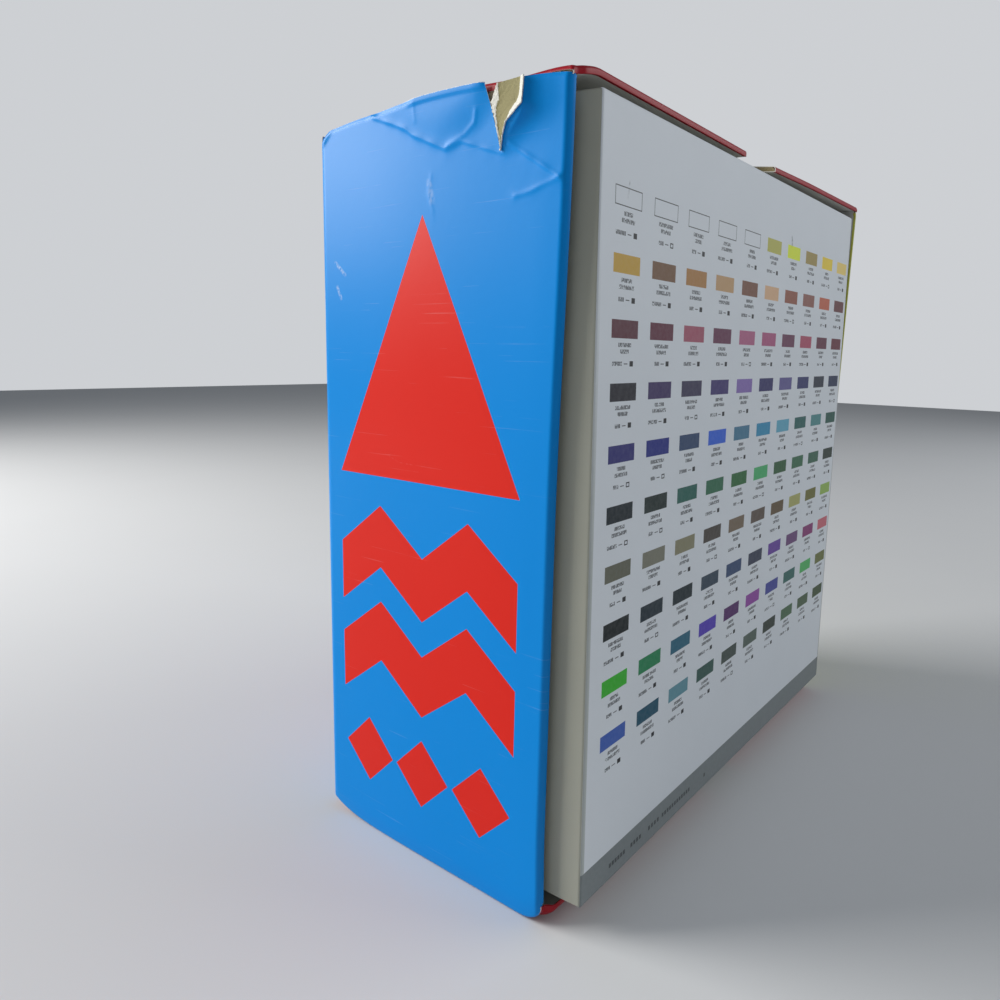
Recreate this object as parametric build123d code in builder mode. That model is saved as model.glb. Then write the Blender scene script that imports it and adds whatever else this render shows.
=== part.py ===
from build123d import *

import math
import os

os.makedirs("parts", exist_ok=True)

# Telescoping card box for a hundred paint tubes, standing on one of its long walls.
# X runs along the box, Y from the open rim of the lid to its closed face, Z is up.
# The origin is under the middle of the whole box, on the surface that it stands on.
# All sizes are in millimetres and all angles in degrees.

# Paint tubes, ten in each of two rows in a tray, head to tail
tubes_per_row = 10
tube_diameter = 16.0
tube_tail_width = 25.1
tube_tail_thickness = 1.2
tube_tail_fold = 6.0
tube_body_length = 86.0
tube_straight_length = 28.0
shoulder_height = 3.5
neck_radius = 4.0
neck_height = 7.0
cap_radius = 6.6
cap_tip_radius = 5.7
cap_height = 15.0
cap_sides = 12
cap_running_clearance = 0.08
cap_seat_gap = 0.2
tube_clearance = 0.3
tube_side_gap = 1.1
tube_end_gap = 2.65

# Insert trays stacked in the base
tray_count = 5
tray_card = 0.8
tray_headroom = 1.7
tray_side_clearance = 0.5
strip_gap = 0.1
stack_gap = 0.3

# Base tray that slides into the lid, and how far it sits askew and proud there
base_board_thickness = 1.0
base_paper = 0.2
base_stay_leg = 12.0
base_stay_thickness = 0.15
base_edge_gap = 2.5
base_yaw = 1.3
base_pitch = 1.2
base_proud = 3.8

# Lid, layers of a wall and the details along its rim
lid_board_thickness = 1.5
lid_paper = 0.25
lid_clearance = 0.6
lid_crown = 3.3
lid_sag = 4.5
lid_foot_width = 40.0
lid_turn_in = 1.0
notch_radius = 13.5
lid_stay_leg = 14.0
lid_stay_thickness = 0.15
stay_setback = 4.0

# A tube's own heights, from the end of its tail
shoulder_z = tube_body_length
taper_top = tube_body_length - tube_straight_length
neck_z = shoulder_z + shoulder_height
cap_z = neck_z + cap_seat_gap
tube_length = cap_z + cap_height

# A tray is as long and wide as its tubes need: wide tails lie beside narrow heads
tube_pitch = (tube_tail_width + tube_diameter) / 2 + tube_side_gap
row_length = tube_tail_width + (tubes_per_row - 1) * tube_pitch + 2 * tube_clearance
cell_width = tube_length + 2 * tube_end_gap
tube_rise = tray_card + tube_clearance + tube_diameter / 2
tray_length = row_length + 2 * tray_card
tray_width = 2 * cell_width + 3 * tray_card
tray_height = tray_card + tube_clearance + tube_diameter + tray_headroom
stack_depth = tray_count * tray_height + (tray_count - 1) * stack_gap

# The base takes the straight stack between its own leaning walls
yaw = math.radians(base_yaw)
pitch = math.radians(base_pitch)
base_wall = base_board_thickness + base_paper
base_depth = stack_depth + base_wall + 2 * stack_gap - base_edge_gap
lean_across = (base_depth - base_wall) * math.sin(yaw)
lean_up = (base_depth - base_wall) * math.sin(pitch)
base_inner_length = (tray_length + lean_across + 2 * tray_side_clearance) / math.cos(yaw)
base_inner_height = (tray_width + lean_up + 2 * tray_side_clearance) / math.cos(pitch)
base_length = base_inner_length + 2 * base_wall
base_height = base_inner_height + 2 * base_wall

# The lid takes the leaning base, and the full stack holds the base out of it
lid_wall = lid_board_thickness + 2 * lid_paper
outer_lean_across = base_depth * math.sin(yaw)
outer_lean_up = base_depth * math.sin(pitch)
lid_fit = 2 * (lid_wall + lid_clearance)
lid_length = base_length * math.cos(yaw) + outer_lean_across + lid_fit
lid_height = base_height * math.cos(pitch) + outer_lean_up + lid_fit
floor_lean = tray_length / 2 * math.sin(yaw) + tray_width / 2 * math.sin(pitch)
stack_front = stack_gap + floor_lean + base_wall - base_proud
lid_depth = stack_front + stack_depth + stack_gap + lid_wall
corner_lean = (base_length * math.sin(yaw) + base_height * math.sin(pitch) * math.cos(yaw)) / 2
base_corner_front = -base_proud - corner_lean

# Row places along Y, from the front corner of the base to the closed face of the lid
overall_depth = lid_depth - base_corner_front
rim_y = -overall_depth / 2 - base_corner_front
back_y = rim_y + lid_depth
middle_z = lid_sag + lid_height / 2

# Crown of the lid's upper long wall is one arc, shared by all of its layers
crown_radius = lid_depth ** 2 / (8 * lid_crown) + lid_crown / 2
crown_y = rim_y + lid_depth / 2
crown_z = lid_sag + lid_height + lid_crown - crown_radius

# The lower long wall bulges too: flat where it stands, with an arc up to each of its edges
foot_front = crown_y - lid_foot_width / 2
foot_back = crown_y + lid_foot_width / 2
sag_run = (lid_depth - lid_foot_width) / 2
sag_radius = sag_run ** 2 / (2 * lid_sag) + lid_sag / 2


def crown_height(y, inset):
    """Height of the upper long wall at y, on the layer that lies inset below its outside."""
    return crown_z + math.sqrt((crown_radius - inset) ** 2 - (y - crown_y) ** 2)


def sag_height(y, inset):
    """Height of the lower long wall at y, on the layer that lies inset above its underside."""
    past_foot = max(foot_front - y, y - foot_back, 0)
    return sag_radius - math.sqrt((sag_radius - inset) ** 2 - past_foot ** 2)


def lid_outline(inset, rim_inset):
    """Closed side view of the lid, inset from its outside and set back from its rim."""
    front = rim_y + rim_inset
    back = back_y - inset
    with BuildSketch(Plane.YZ) as outline:
        with BuildLine():
            Line((front, crown_height(front, inset)), (front, sag_height(front, inset)))
            for end, foot in ((front, foot_front), (back, foot_back)):
                between = (end + foot) / 2
                ThreePointArc(
                    (end, sag_height(end, inset)),
                    (between, sag_height(between, inset)),
                    (foot, inset),
                )
            Line((foot_front, inset), (foot_back, inset))
            Line((back, sag_height(back, inset)), (back, crown_height(back, inset)))
            ThreePointArc(
                (back, crown_height(back, inset)),
                (crown_y, crown_height(crown_y, inset)),
                (front, crown_height(front, inset)),
            )
        make_face()
    return outline.sketch_local


lid_half = lid_length / 2
board_half = lid_half - lid_paper
board_inner_half = board_half - lid_board_thickness
inner_half = lid_half - lid_wall
board_inset = lid_paper + lid_board_thickness
past_rim = -1.0
rim_floor = sag_height(rim_y, lid_wall)
rim_ceiling = crown_height(rim_y, lid_wall)

# Four strips of stay tape round the long corners of the lid's board
with BuildPart() as lid_corner_stays:
    for side in (-1, 1):
        with BuildSketch(Plane.YZ.offset(side * board_half)):
            add(lid_outline(lid_paper, stay_setback))
        extrude(amount=-side * lid_stay_leg)
    with BuildSketch(Plane.YZ):
        add(lid_outline(lid_paper + lid_stay_thickness, past_rim))
    extrude(amount=board_half - lid_stay_thickness, both=True, mode=Mode.SUBTRACT)
    with BuildSketch(Plane.YZ):
        with Locations((crown_y, middle_z)):
            Rectangle(2 * lid_depth, lid_height - 2 * lid_stay_leg)
    extrude(amount=lid_length, both=True, mode=Mode.SUBTRACT)
    with BuildSketch(Plane.YZ):
        with Locations((back_y, middle_z)):
            Rectangle(2 * stay_setback, 2 * lid_height)
    extrude(amount=lid_length, both=True, mode=Mode.SUBTRACT)

# Space of the half-round thumb notches in the rims of the two long walls
with BuildPart() as thumb_notches:
    with BuildSketch(Plane.XY):
        with Locations((0, rim_y)):
            Circle(notch_radius)
    extrude(amount=2 * lid_height)


def keep_long_wall(sign, back_inset):
    """In a side view of the lid, keep the upper (sign 1) or lower (sign -1) long wall alone."""
    with Locations((back_y, middle_z)):
        Rectangle(2 * back_inset, 2 * lid_height, mode=Mode.SUBTRACT)
    with Locations((crown_y, middle_z - sign * lid_height / 2)):
        Rectangle(2 * lid_depth, lid_height, mode=Mode.SUBTRACT)


def lid_long_board(sign):
    """Grey board of the upper (sign 1) or lower (sign -1) long wall, with its thumb notch."""
    with BuildPart() as board:
        with BuildSketch(Plane.YZ):
            add(lid_outline(lid_paper, lid_paper))
            add(lid_outline(board_inset, past_rim), mode=Mode.SUBTRACT)
            keep_long_wall(sign, board_inset)
        extrude(amount=board_half, both=True)
        add(thumb_notches.part, mode=Mode.SUBTRACT)
        add(lid_corner_stays.part, mode=Mode.SUBTRACT)
    return board.part


def lid_end_board(sign):
    """Grey board of the end wall at +X (sign 1) or -X (sign -1)."""
    with BuildPart() as board:
        with BuildSketch(Plane.YZ.offset(sign * board_half)):
            add(lid_outline(board_inset, lid_paper))
        extrude(amount=-sign * lid_board_thickness)
        add(lid_corner_stays.part, mode=Mode.SUBTRACT)
    return board.part


# Grey board of the lid's closed face
with BuildPart() as lid_face_board:
    with BuildSketch(Plane.YZ):
        add(lid_outline(lid_paper, lid_paper))
        with Locations((back_y - board_inset - lid_depth, middle_z)):
            Rectangle(2 * lid_depth, 2 * lid_height, mode=Mode.SUBTRACT)
    extrude(amount=board_half, both=True)

# White paper lining, from the turned-in print to the closed face
with BuildPart() as lid_liner:
    with BuildSketch(Plane.YZ):
        add(lid_outline(board_inset, lid_turn_in))
    extrude(amount=board_inner_half, both=True)
    with BuildSketch(Plane.YZ):
        add(lid_outline(lid_wall, past_rim))
    extrude(amount=inner_half, both=True, mode=Mode.SUBTRACT)


def lid_long_wrap(sign):
    """Print on the upper (sign 1) or lower (sign -1) long wall, folded in over the rim."""
    with BuildPart() as wrap:
        with BuildSketch(Plane.YZ):
            add(lid_outline(0, 0))
            add(lid_outline(lid_paper, lid_paper), mode=Mode.SUBTRACT)
            add(lid_outline(lid_wall, past_rim), mode=Mode.SUBTRACT)
            keep_long_wall(sign, lid_paper)
        extrude(amount=board_half, both=True)
        with BuildSketch(Plane.YZ):
            add(lid_outline(board_inset, 0))
            add(lid_outline(lid_wall, past_rim), mode=Mode.SUBTRACT)
            keep_long_wall(sign, lid_depth - lid_turn_in)
        extrude(amount=inner_half, both=True)
        add(thumb_notches.part, mode=Mode.SUBTRACT)
    return wrap.part


def lid_end_wrap(sign):
    """Print on the end wall at +X (sign 1) or -X (sign -1), folded in over the rim."""
    with BuildPart() as wrap:
        with BuildSketch(Plane.YZ.offset(sign * lid_half)):
            add(lid_outline(0, 0))
        extrude(amount=-sign * lid_paper)
        with BuildSketch(Plane.XY.offset(rim_floor)):
            with Locations((sign * (lid_half + inner_half) / 2, rim_y + lid_paper / 2)):
                Rectangle(lid_wall, lid_paper)
            with Locations((sign * (inner_half + lid_paper / 2), rim_y + lid_turn_in / 2)):
                Rectangle(lid_paper, lid_turn_in)
        extrude(amount=rim_ceiling - rim_floor)
    return wrap.part


# Print on the closed face of the lid
with BuildPart() as lid_face_wrap:
    with BuildSketch(Plane.XZ.offset(-back_y)):
        with Locations((0, middle_z)):
            Rectangle(2 * board_half, lid_height)
    extrude(amount=lid_paper)

# The base leans inside the lid: its plane lies on the outside of its printed bottom
base_right = (math.cos(yaw), math.sin(yaw), 0)
base_out = (math.sin(yaw) * math.cos(pitch), -math.cos(yaw) * math.cos(pitch), math.sin(pitch))
half_depth = base_depth / 2
base_plane = Plane(
    origin=(
        half_depth * base_out[0],
        rim_y - base_proud,
        middle_z + half_depth * base_out[2],
    ),
    x_dir=base_right,
    z_dir=base_out,
)
base_board_length = base_length - 2 * base_paper
base_board_height = base_height - 2 * base_paper

# Four strips of stay tape round the corners of the base's board
with BuildPart() as base_corner_stays:
    across = base_board_length - base_stay_leg
    up = base_board_height - base_stay_leg
    with BuildSketch(base_plane.offset(-stay_setback)):
        with GridLocations(across, up, 2, 2):
            Rectangle(base_stay_leg, base_stay_leg)
        Rectangle(
            base_board_length - 2 * base_stay_thickness,
            base_board_height - 2 * base_stay_thickness,
            mode=Mode.SUBTRACT,
        )
    extrude(amount=2 * stay_setback - base_depth)

# Board of the base's bottom
with BuildPart() as base_bottom_board:
    with BuildSketch(base_plane.offset(-base_paper)):
        Rectangle(base_board_length, base_board_height)
    extrude(amount=-base_board_thickness)


def base_end_board(sign):
    """White board of the base's end wall at +X (sign 1) or -X (sign -1)."""
    with BuildPart() as board:
        with BuildSketch(base_plane.offset(-base_wall)):
            with Locations((sign * (base_inner_length + base_board_thickness) / 2, 0)):
                Rectangle(base_board_thickness, base_inner_height)
        extrude(amount=base_wall - base_depth)
        add(base_corner_stays.part, mode=Mode.SUBTRACT)
    return board.part


def base_long_board(sign):
    """White board of the base's upper (sign 1) or lower (sign -1) long wall."""
    with BuildPart() as board:
        with BuildSketch(base_plane.offset(-base_wall)):
            with Locations((0, sign * (base_inner_height + base_board_thickness) / 2)):
                Rectangle(base_board_length, base_board_thickness)
        extrude(amount=base_wall - base_depth)
        add(base_corner_stays.part, mode=Mode.SUBTRACT)
    return board.part


# Printed colour chart pasted over the bottom of the base
with BuildPart() as base_chart:
    with BuildSketch(base_plane):
        Rectangle(base_length, base_height)
    extrude(amount=-base_paper)


def base_end_wrap(sign):
    """White paper on the base's end wall at +X (sign 1) or -X (sign -1)."""
    with BuildPart() as wrap:
        with BuildSketch(base_plane.offset(-base_paper)):
            with Locations((sign * (base_length - base_paper) / 2, 0)):
                Rectangle(base_paper, base_board_height)
        extrude(amount=base_paper - base_depth)
    return wrap.part


def base_long_wrap(sign):
    """White paper on the base's upper (sign 1) or lower (sign -1) long wall."""
    with BuildPart() as wrap:
        with BuildSketch(base_plane.offset(-base_paper)):
            with Locations((0, sign * (base_height - base_paper) / 2)):
                Rectangle(base_length, base_paper)
        extrude(amount=base_paper - base_depth)
    return wrap.part


# One paint tube, tail down on the XY plane and neck up: fold, tapered body, shoulder and neck
with BuildPart() as paint_tube:
    with BuildSketch(Plane.XY):
        Rectangle(tube_tail_width, tube_tail_thickness)
    extrude(amount=tube_tail_fold)
    with BuildSketch(Plane.XY.offset(tube_tail_fold)):
        Rectangle(tube_tail_width, tube_tail_thickness)
    with BuildSketch(Plane.XY.offset(taper_top)):
        Circle(tube_diameter / 2)
    loft(ruled=True)
    with BuildSketch(Plane.XY.offset(taper_top)):
        Circle(tube_diameter / 2)
    extrude(amount=tube_straight_length)
    with BuildSketch(Plane.XY.offset(shoulder_z)):
        Circle(tube_diameter / 2)
    with BuildSketch(Plane.XY.offset(neck_z)):
        Circle(neck_radius)
    loft(ruled=True)
    with BuildSketch(Plane.XY.offset(neck_z)):
        Circle(neck_radius)
    extrude(amount=neck_height)

# One cap, with its blind bore over the neck
with BuildPart() as tube_cap:
    with BuildSketch(Plane.XY.offset(cap_z)):
        RegularPolygon(cap_radius, cap_sides)
    with BuildSketch(Plane.XY.offset(cap_z + cap_height)):
        RegularPolygon(cap_tip_radius, cap_sides)
    loft(ruled=True)
    with BuildSketch(Plane.XY.offset(cap_z)):
        Circle(neck_radius + cap_running_clearance)
    extrude(amount=neck_height, mode=Mode.SUBTRACT)


def tube_places(tray_front):
    """Places of the twenty tubes of the tray whose underside is at tray_front."""
    places = []
    for row in (-1, 1):
        cell_middle = middle_z + row * (cell_width + tray_card) / 2
        for column in range(tubes_per_row):
            x = (column - (tubes_per_row - 1) / 2) * tube_pitch
            heads_up = column % 2 == 0
            tail_z = cell_middle - tube_length / 2 if heads_up else cell_middle + tube_length / 2
            turn = 0 if heads_up else 180
            places.append(Location((x, tray_front + tube_rise, tail_z), (0, turn, 0)))
    return places


def tray_floor(tray_front):
    """Card under the twenty tubes of a tray."""
    with BuildPart() as floor:
        with BuildSketch(Plane.XZ.offset(-tray_front)):
            with Locations((0, middle_z)):
                Rectangle(tray_length, tray_width)
        extrude(amount=-tray_card)
    return floor.part


def tray_strips(tray_front):
    """Five card strips on edge: two long walls, the rib between the rows and two end walls."""
    with BuildPart() as strips:
        with BuildSketch(Plane.XZ.offset(-tray_front - tray_card)):
            with Locations((0, middle_z)):
                with GridLocations(tray_length, tray_width - tray_card, 1, 2):
                    Rectangle(tray_length, tray_card)
                with GridLocations(tray_length - tray_card, tray_width, 2, 1):
                    Rectangle(tray_card, tray_width - 2 * (tray_card + strip_gap))
                Rectangle(row_length - 2 * strip_gap, tray_card)
        extrude(amount=tray_card - tray_height)
    return strips.part


def placed_copies(master, places):
    """One group of separate copies of a master piece, one at each place."""
    with BuildPart() as group:
        with Locations(*places):
            add(master)
    return group.part


pieces = {
    "lid_face_board": lid_face_board.part,
    "lid_upper_board": lid_long_board(1),
    "lid_lower_board": lid_long_board(-1),
    "lid_left_board": lid_end_board(-1),
    "lid_right_board": lid_end_board(1),
    "lid_liner": lid_liner.part,
    "lid_corner_stays": lid_corner_stays.part,
    "lid_face_wrap": lid_face_wrap.part,
    "lid_upper_wrap": lid_long_wrap(1),
    "lid_lower_wrap": lid_long_wrap(-1),
    "lid_left_wrap": lid_end_wrap(-1),
    "lid_right_wrap": lid_end_wrap(1),
    "base_bottom_board": base_bottom_board.part,
    "base_upper_board": base_long_board(1),
    "base_lower_board": base_long_board(-1),
    "base_left_board": base_end_board(-1),
    "base_right_board": base_end_board(1),
    "base_corner_stays": base_corner_stays.part,
    "base_chart": base_chart.part,
    "base_upper_wrap": base_long_wrap(1),
    "base_lower_wrap": base_long_wrap(-1),
    "base_left_wrap": base_end_wrap(-1),
    "base_right_wrap": base_end_wrap(1),
}
for number in range(1, tray_count + 1):
    tray_front = rim_y + stack_front + (number - 1) * (tray_height + stack_gap)
    places = tube_places(tray_front)
    pieces[f"tray_{number}_floor"] = tray_floor(tray_front)
    pieces[f"tray_{number}_strips"] = tray_strips(tray_front)
    pieces[f"tray_{number}_tubes"] = placed_copies(paint_tube.part, places)
    if number == tray_count:
        pieces["turning_cap"] = placed_copies(tube_cap.part, places[:1])
        places = places[1:]
    pieces[f"tray_{number}_caps"] = placed_copies(tube_cap.part, places)

for name, piece in pieces.items():
    piece.label = name
    export_step(piece, f"parts/{name}.step")
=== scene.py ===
import colorsys
import math
import random

import bpy
from mathutils import Matrix, Vector


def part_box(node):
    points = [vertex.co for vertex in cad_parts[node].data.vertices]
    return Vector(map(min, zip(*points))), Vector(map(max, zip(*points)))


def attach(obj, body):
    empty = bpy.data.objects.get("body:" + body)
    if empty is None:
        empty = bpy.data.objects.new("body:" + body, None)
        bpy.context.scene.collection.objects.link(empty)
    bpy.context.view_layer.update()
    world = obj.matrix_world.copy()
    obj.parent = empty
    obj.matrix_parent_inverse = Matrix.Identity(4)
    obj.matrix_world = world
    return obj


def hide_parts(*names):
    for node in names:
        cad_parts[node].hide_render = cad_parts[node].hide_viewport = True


# A lidded card box for a hundred paint tubes, standing on one of its long walls.
# X runs along the box, Y from the open rim to the closed face, Z is up. Lengths are in millimetres.
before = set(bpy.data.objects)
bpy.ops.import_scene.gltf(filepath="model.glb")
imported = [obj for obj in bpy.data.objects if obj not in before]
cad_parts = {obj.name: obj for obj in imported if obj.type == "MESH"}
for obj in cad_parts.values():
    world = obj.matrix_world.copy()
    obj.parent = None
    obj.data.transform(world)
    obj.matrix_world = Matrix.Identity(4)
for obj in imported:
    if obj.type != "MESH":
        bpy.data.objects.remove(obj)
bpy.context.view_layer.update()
print("frame loaded:", len(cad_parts), "nodes")

mm = 0.001
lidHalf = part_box("lid_right_wrap")[1].x / mm
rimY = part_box("lid_left_wrap")[0].y / mm
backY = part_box("lid_face_wrap")[1].y / mm
middleY = (rimY + backY) / 2
lidDepth = backY - rimY
# The lid is shaped with its lower corners at height 0, and raised by the sag of its lower wall when done
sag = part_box("lid_face_wrap")[0].z / mm
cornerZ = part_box("lid_face_wrap")[1].z / mm - sag
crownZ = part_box("lid_left_wrap")[1].z / mm - sag
crown = crownZ - cornerZ
crownRadius = lidDepth ** 2 / (8 * crown) + crown / 2
lidMiddle = Vector((0, middleY, cornerZ / 2))

layers = {"paper": 0.25, "board": 1.5, "turnIn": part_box("lid_liner")[0].y / mm - rimY, "innerRadius": 0.15}
layers["wall"] = layers["board"] + 2 * layers["paper"]


# Small helpers for operators, meshes and pieces

def objectMode():
    bpy.ops.object.mode_set(mode="OBJECT")


def deselectAll():
    if bpy.context.object and bpy.context.object.mode != "OBJECT":
        objectMode()
    bpy.ops.object.select_all(action="DESELECT")


def makeActive(piece):
    deselectAll()
    piece.select_set(True)
    bpy.context.view_layer.objects.active = piece


def editAll(piece):
    makeActive(piece)
    bpy.ops.object.mode_set(mode="EDIT")
    bpy.ops.mesh.select_all(action="SELECT")


def startPick(piece, kind):
    makeActive(piece)
    bpy.ops.object.mode_set(mode="EDIT")
    bpy.ops.mesh.select_mode(type=kind)
    bpy.ops.mesh.select_all(action="DESELECT")
    objectMode()


# selects the faces whose centre and normal pass the test, and stays in edit mode
def pickFaces(piece, wanted):
    startPick(piece, "FACE")
    for face in piece.data.polygons:
        face.select = wanted(face.center / mm, face.normal)
    bpy.ops.object.mode_set(mode="EDIT")


# selects the edges whose two ends pass the test, and stays in edit mode
def pickEdges(piece, wanted):
    startPick(piece, "EDGE")
    points = piece.data.vertices
    for edge in piece.data.edges:
        edge.select = wanted(*[points[i].co / mm for i in edge.vertices])
    bpy.ops.object.mode_set(mode="EDIT")


def deleteFaces(piece, wanted, kind="FACE"):
    pickFaces(piece, wanted)
    bpy.ops.mesh.delete(type=kind)
    objectMode()


def bisectAll(piece, point, normal):
    editAll(piece)
    bpy.ops.mesh.bisect(plane_co=[part * mm for part in point], plane_no=normal)
    objectMode()


def applyModifier(piece, kind, **values):
    makeActive(piece)
    modifier = piece.modifiers.new(kind.title(), kind)
    for key, value in values.items():
        setattr(modifier, key, value)
    bpy.ops.object.modifier_apply(modifier=modifier.name)


# gives a sheet its thickness, inwards from where it lies
def solidify(piece, thickness, **settings):
    applyModifier(piece, "SOLIDIFY", thickness=thickness * mm, offset=-1.0, **settings)


def bevelSharp(piece, width, segments):
    applyModifier(piece, "BEVEL", width=width * mm, segments=segments, limit_method="ANGLE",
                  angle_limit=math.radians(60))


def addBlock(name, low, high):
    deselectAll()
    middle = [(a + b) / 2 * mm for a, b in zip(low, high)]
    bpy.ops.mesh.primitive_cube_add(size=1, location=middle)
    block = bpy.context.object
    block.name = name
    block.scale = [(b - a) * mm for a, b in zip(low, high)]
    bpy.ops.object.transform_apply(location=True, rotation=True, scale=True)
    return block


# positions of grid lines from runs of (start, stop, step)
def lineRuns(*runs):
    lines = []
    for start, stop, step in runs:
        count = max(1, round(abs(stop - start) / step))
        lines += [start + (stop - start) * i / count for i in range(count)]
    return lines + [runs[-1][1]]


# flat grid on XY with its lines where they are wanted
def addSheet(name, acrossLines, alongLines):
    deselectAll()
    columns, rows = len(acrossLines) - 1, len(alongLines) - 1
    bpy.ops.mesh.primitive_grid_add(x_subdivisions=columns, y_subdivisions=rows, size=2)
    sheet = bpy.context.object
    sheet.name = name
    for point in sheet.data.vertices:
        column = round((point.co.x + 1) / 2 * columns)
        row = round((point.co.y + 1) / 2 * rows)
        point.co = (acrossLines[column] * mm, alongLines[row] * mm, 0)
    return sheet


def moveVertices(piece, place):
    for point in piece.data.vertices:
        point.co = Vector(place(point.co / mm)) * mm
    piece.data.update()


# turns an open sheet over if its normals point at the middle
def faceOutwards(piece, middle):
    leaning = sum(f.normal.dot(f.center / mm - middle) * f.area for f in piece.data.polygons)
    if leaning < 0:
        editAll(piece)
        bpy.ops.mesh.flip_normals()
        objectMode()


def tidyNormals(piece):
    editAll(piece)
    bpy.ops.mesh.remove_doubles(threshold=0.002 * mm)
    bpy.ops.mesh.normals_make_consistent(inside=False)
    objectMode()


def smoothBy(piece, degrees):
    makeActive(piece)
    bpy.ops.object.shade_smooth_by_angle(angle=math.radians(degrees))


def joinPieces(name, pieces):
    makeActive(pieces[0])
    for piece in pieces:
        piece.select_set(True)
    if len(pieces) > 1:
        bpy.ops.object.join()
    pieces[0].name = name
    return pieces[0]


# stores how worn the print is at each vertex
def storeWear(piece, values):
    wear = piece.data.attributes.new("wear", "FLOAT", "POINT")
    wear.data.foreach_set("value", values)


def dress(piece, *materials):
    for material in materials:
        piece.data.materials.append(material)


def finishPiece(piece, body, slot, nodes, *materials):
    dress(piece, *materials)
    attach(piece, body)
    if nodes:
        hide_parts(*nodes)
    print(piece.name, "has", len(piece.data.polygons), "faces")
    return piece


def finishLid(piece, slot, nodes, *materials):
    moveVertices(piece, lambda spot: spot + Vector((0, 0, sag)))
    return finishPiece(piece, "lid", slot, nodes, *materials)


def smoothStep(low, high, value):
    t = min(1, max(0, (value - low) / (high - low)))
    return t * t * (3 - 2 * t)


def bump(value, middle, width):
    return math.exp(-((value - middle) / width) ** 2)


def blend(first, second, share):
    return [a + (b - a) * share for a, b in zip(first, second)]


# Shader helpers: an input is linked if its value is a socket, and set if it is a plain value

def fill(tree, inputs, values):
    for key, value in values.items():
        if isinstance(value, bpy.types.NodeSocket):
            tree.links.new(value, inputs[key])
        else:
            inputs[key].default_value = value


def addNode(tree, kind, inputs=None, **settings):
    node = tree.nodes.new(kind)
    for key, value in settings.items():
        setattr(node, key, value)
    fill(tree, node.inputs, inputs or {})
    return node


def calc(tree, operation, *values, clamp=False):
    inputs = dict(enumerate(values))
    return addNode(tree, "ShaderNodeMath", inputs, operation=operation, use_clamp=clamp).outputs[0]


def times(tree, first, second, clamp=False):
    return calc(tree, "MULTIPLY", first, second, clamp=clamp)


def plus(tree, first, second):
    return calc(tree, "ADD", first, second)


def minus(tree, first, second, clamp=False):
    return calc(tree, "SUBTRACT", first, second, clamp=clamp)


def isAbove(tree, value, limit):
    return calc(tree, "GREATER_THAN", value, limit)


def isBelow(tree, value, limit):
    return calc(tree, "LESS_THAN", value, limit)


# 0 up to the start, then rising to 1 by this slope
def ramp(tree, value, start, slope):
    return times(tree, minus(tree, value, start), slope, clamp=True)


def vectorCalc(tree, operation, *values, output=0, **named):
    inputs = {**dict(enumerate(values)), **named}
    return addNode(tree, "ShaderNodeVectorMath", inputs, operation=operation).outputs[output]


def stretch(tree, place, rotation, scale):
    inputs = {"Vector": place, "Rotation": rotation, "Scale": scale}
    return addNode(tree, "ShaderNodeMapping", inputs).outputs[0]


def noise(tree, place, scale, detail):
    inputs = {"Vector": place, "Scale": scale, "Detail": detail}
    return addNode(tree, "ShaderNodeTexNoise", inputs).outputs["Fac"]


def mixColours(tree, factor, first, second):
    node = addNode(tree, "ShaderNodeMix", {0: factor, 6: first, 7: second}, data_type="RGBA")
    return node.outputs[2]


# every socket of the groups that isn't named here holds a number
socketKinds = {"Place": "NodeSocketVector", "Start": "NodeSocketVector", "End": "NodeSocketVector",
               "Colour": "NodeSocketColor"}


def newGroup(name, inputs, outputs):
    group = bpy.data.node_groups.new(name, "ShaderNodeTree")
    for label, value in inputs.items():
        kind = socketKinds.get(label, "NodeSocketFloat")
        socket = group.interface.new_socket(name=label, in_out="INPUT", socket_type=kind)
        if value is not None:
            socket.default_value = value
    for label in outputs:
        kind = socketKinds.get(label, "NodeSocketFloat")
        group.interface.new_socket(name=label, in_out="OUTPUT", socket_type=kind)
    start = group.nodes.new("NodeGroupInput").outputs
    end = group.nodes.new("NodeGroupOutput").inputs
    return group, start, end


def useGroup(tree, group, **inputs):
    return addNode(tree, "ShaderNodeGroup", inputs, node_tree=group).outputs


# fine tooth and cloudy tint of paper and board, with short fibres
def paperToothGroup():
    group, start, end = newGroup(
        "paperTooth", {"Place": None, "Colour": None, "Tint": 0.1, "Fibre": 0.2}, ["Colour", "Height"])
    place = start["Place"]
    tooth, cloud = noise(group, place, 2600.0, 4.0), noise(group, place, 45.0, 3.0)
    fibres = noise(group, stretch(group, place, (0.6, 0.9, 0.4), (300.0, 2600.0, 2600.0)), 1.0, 2.0)
    streak = isAbove(group, fibres, 0.66)
    shade = plus(group, times(group, minus(group, cloud, 0.5), start["Tint"]), 1.0)
    shade = minus(group, shade, times(group, streak, start["Fibre"]))
    fill(group, end, {"Colour": vectorCalc(group, "SCALE", start["Colour"], Scale=shade),
                      "Height": plus(group, tooth, times(group, streak, 0.5))})
    return group


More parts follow.
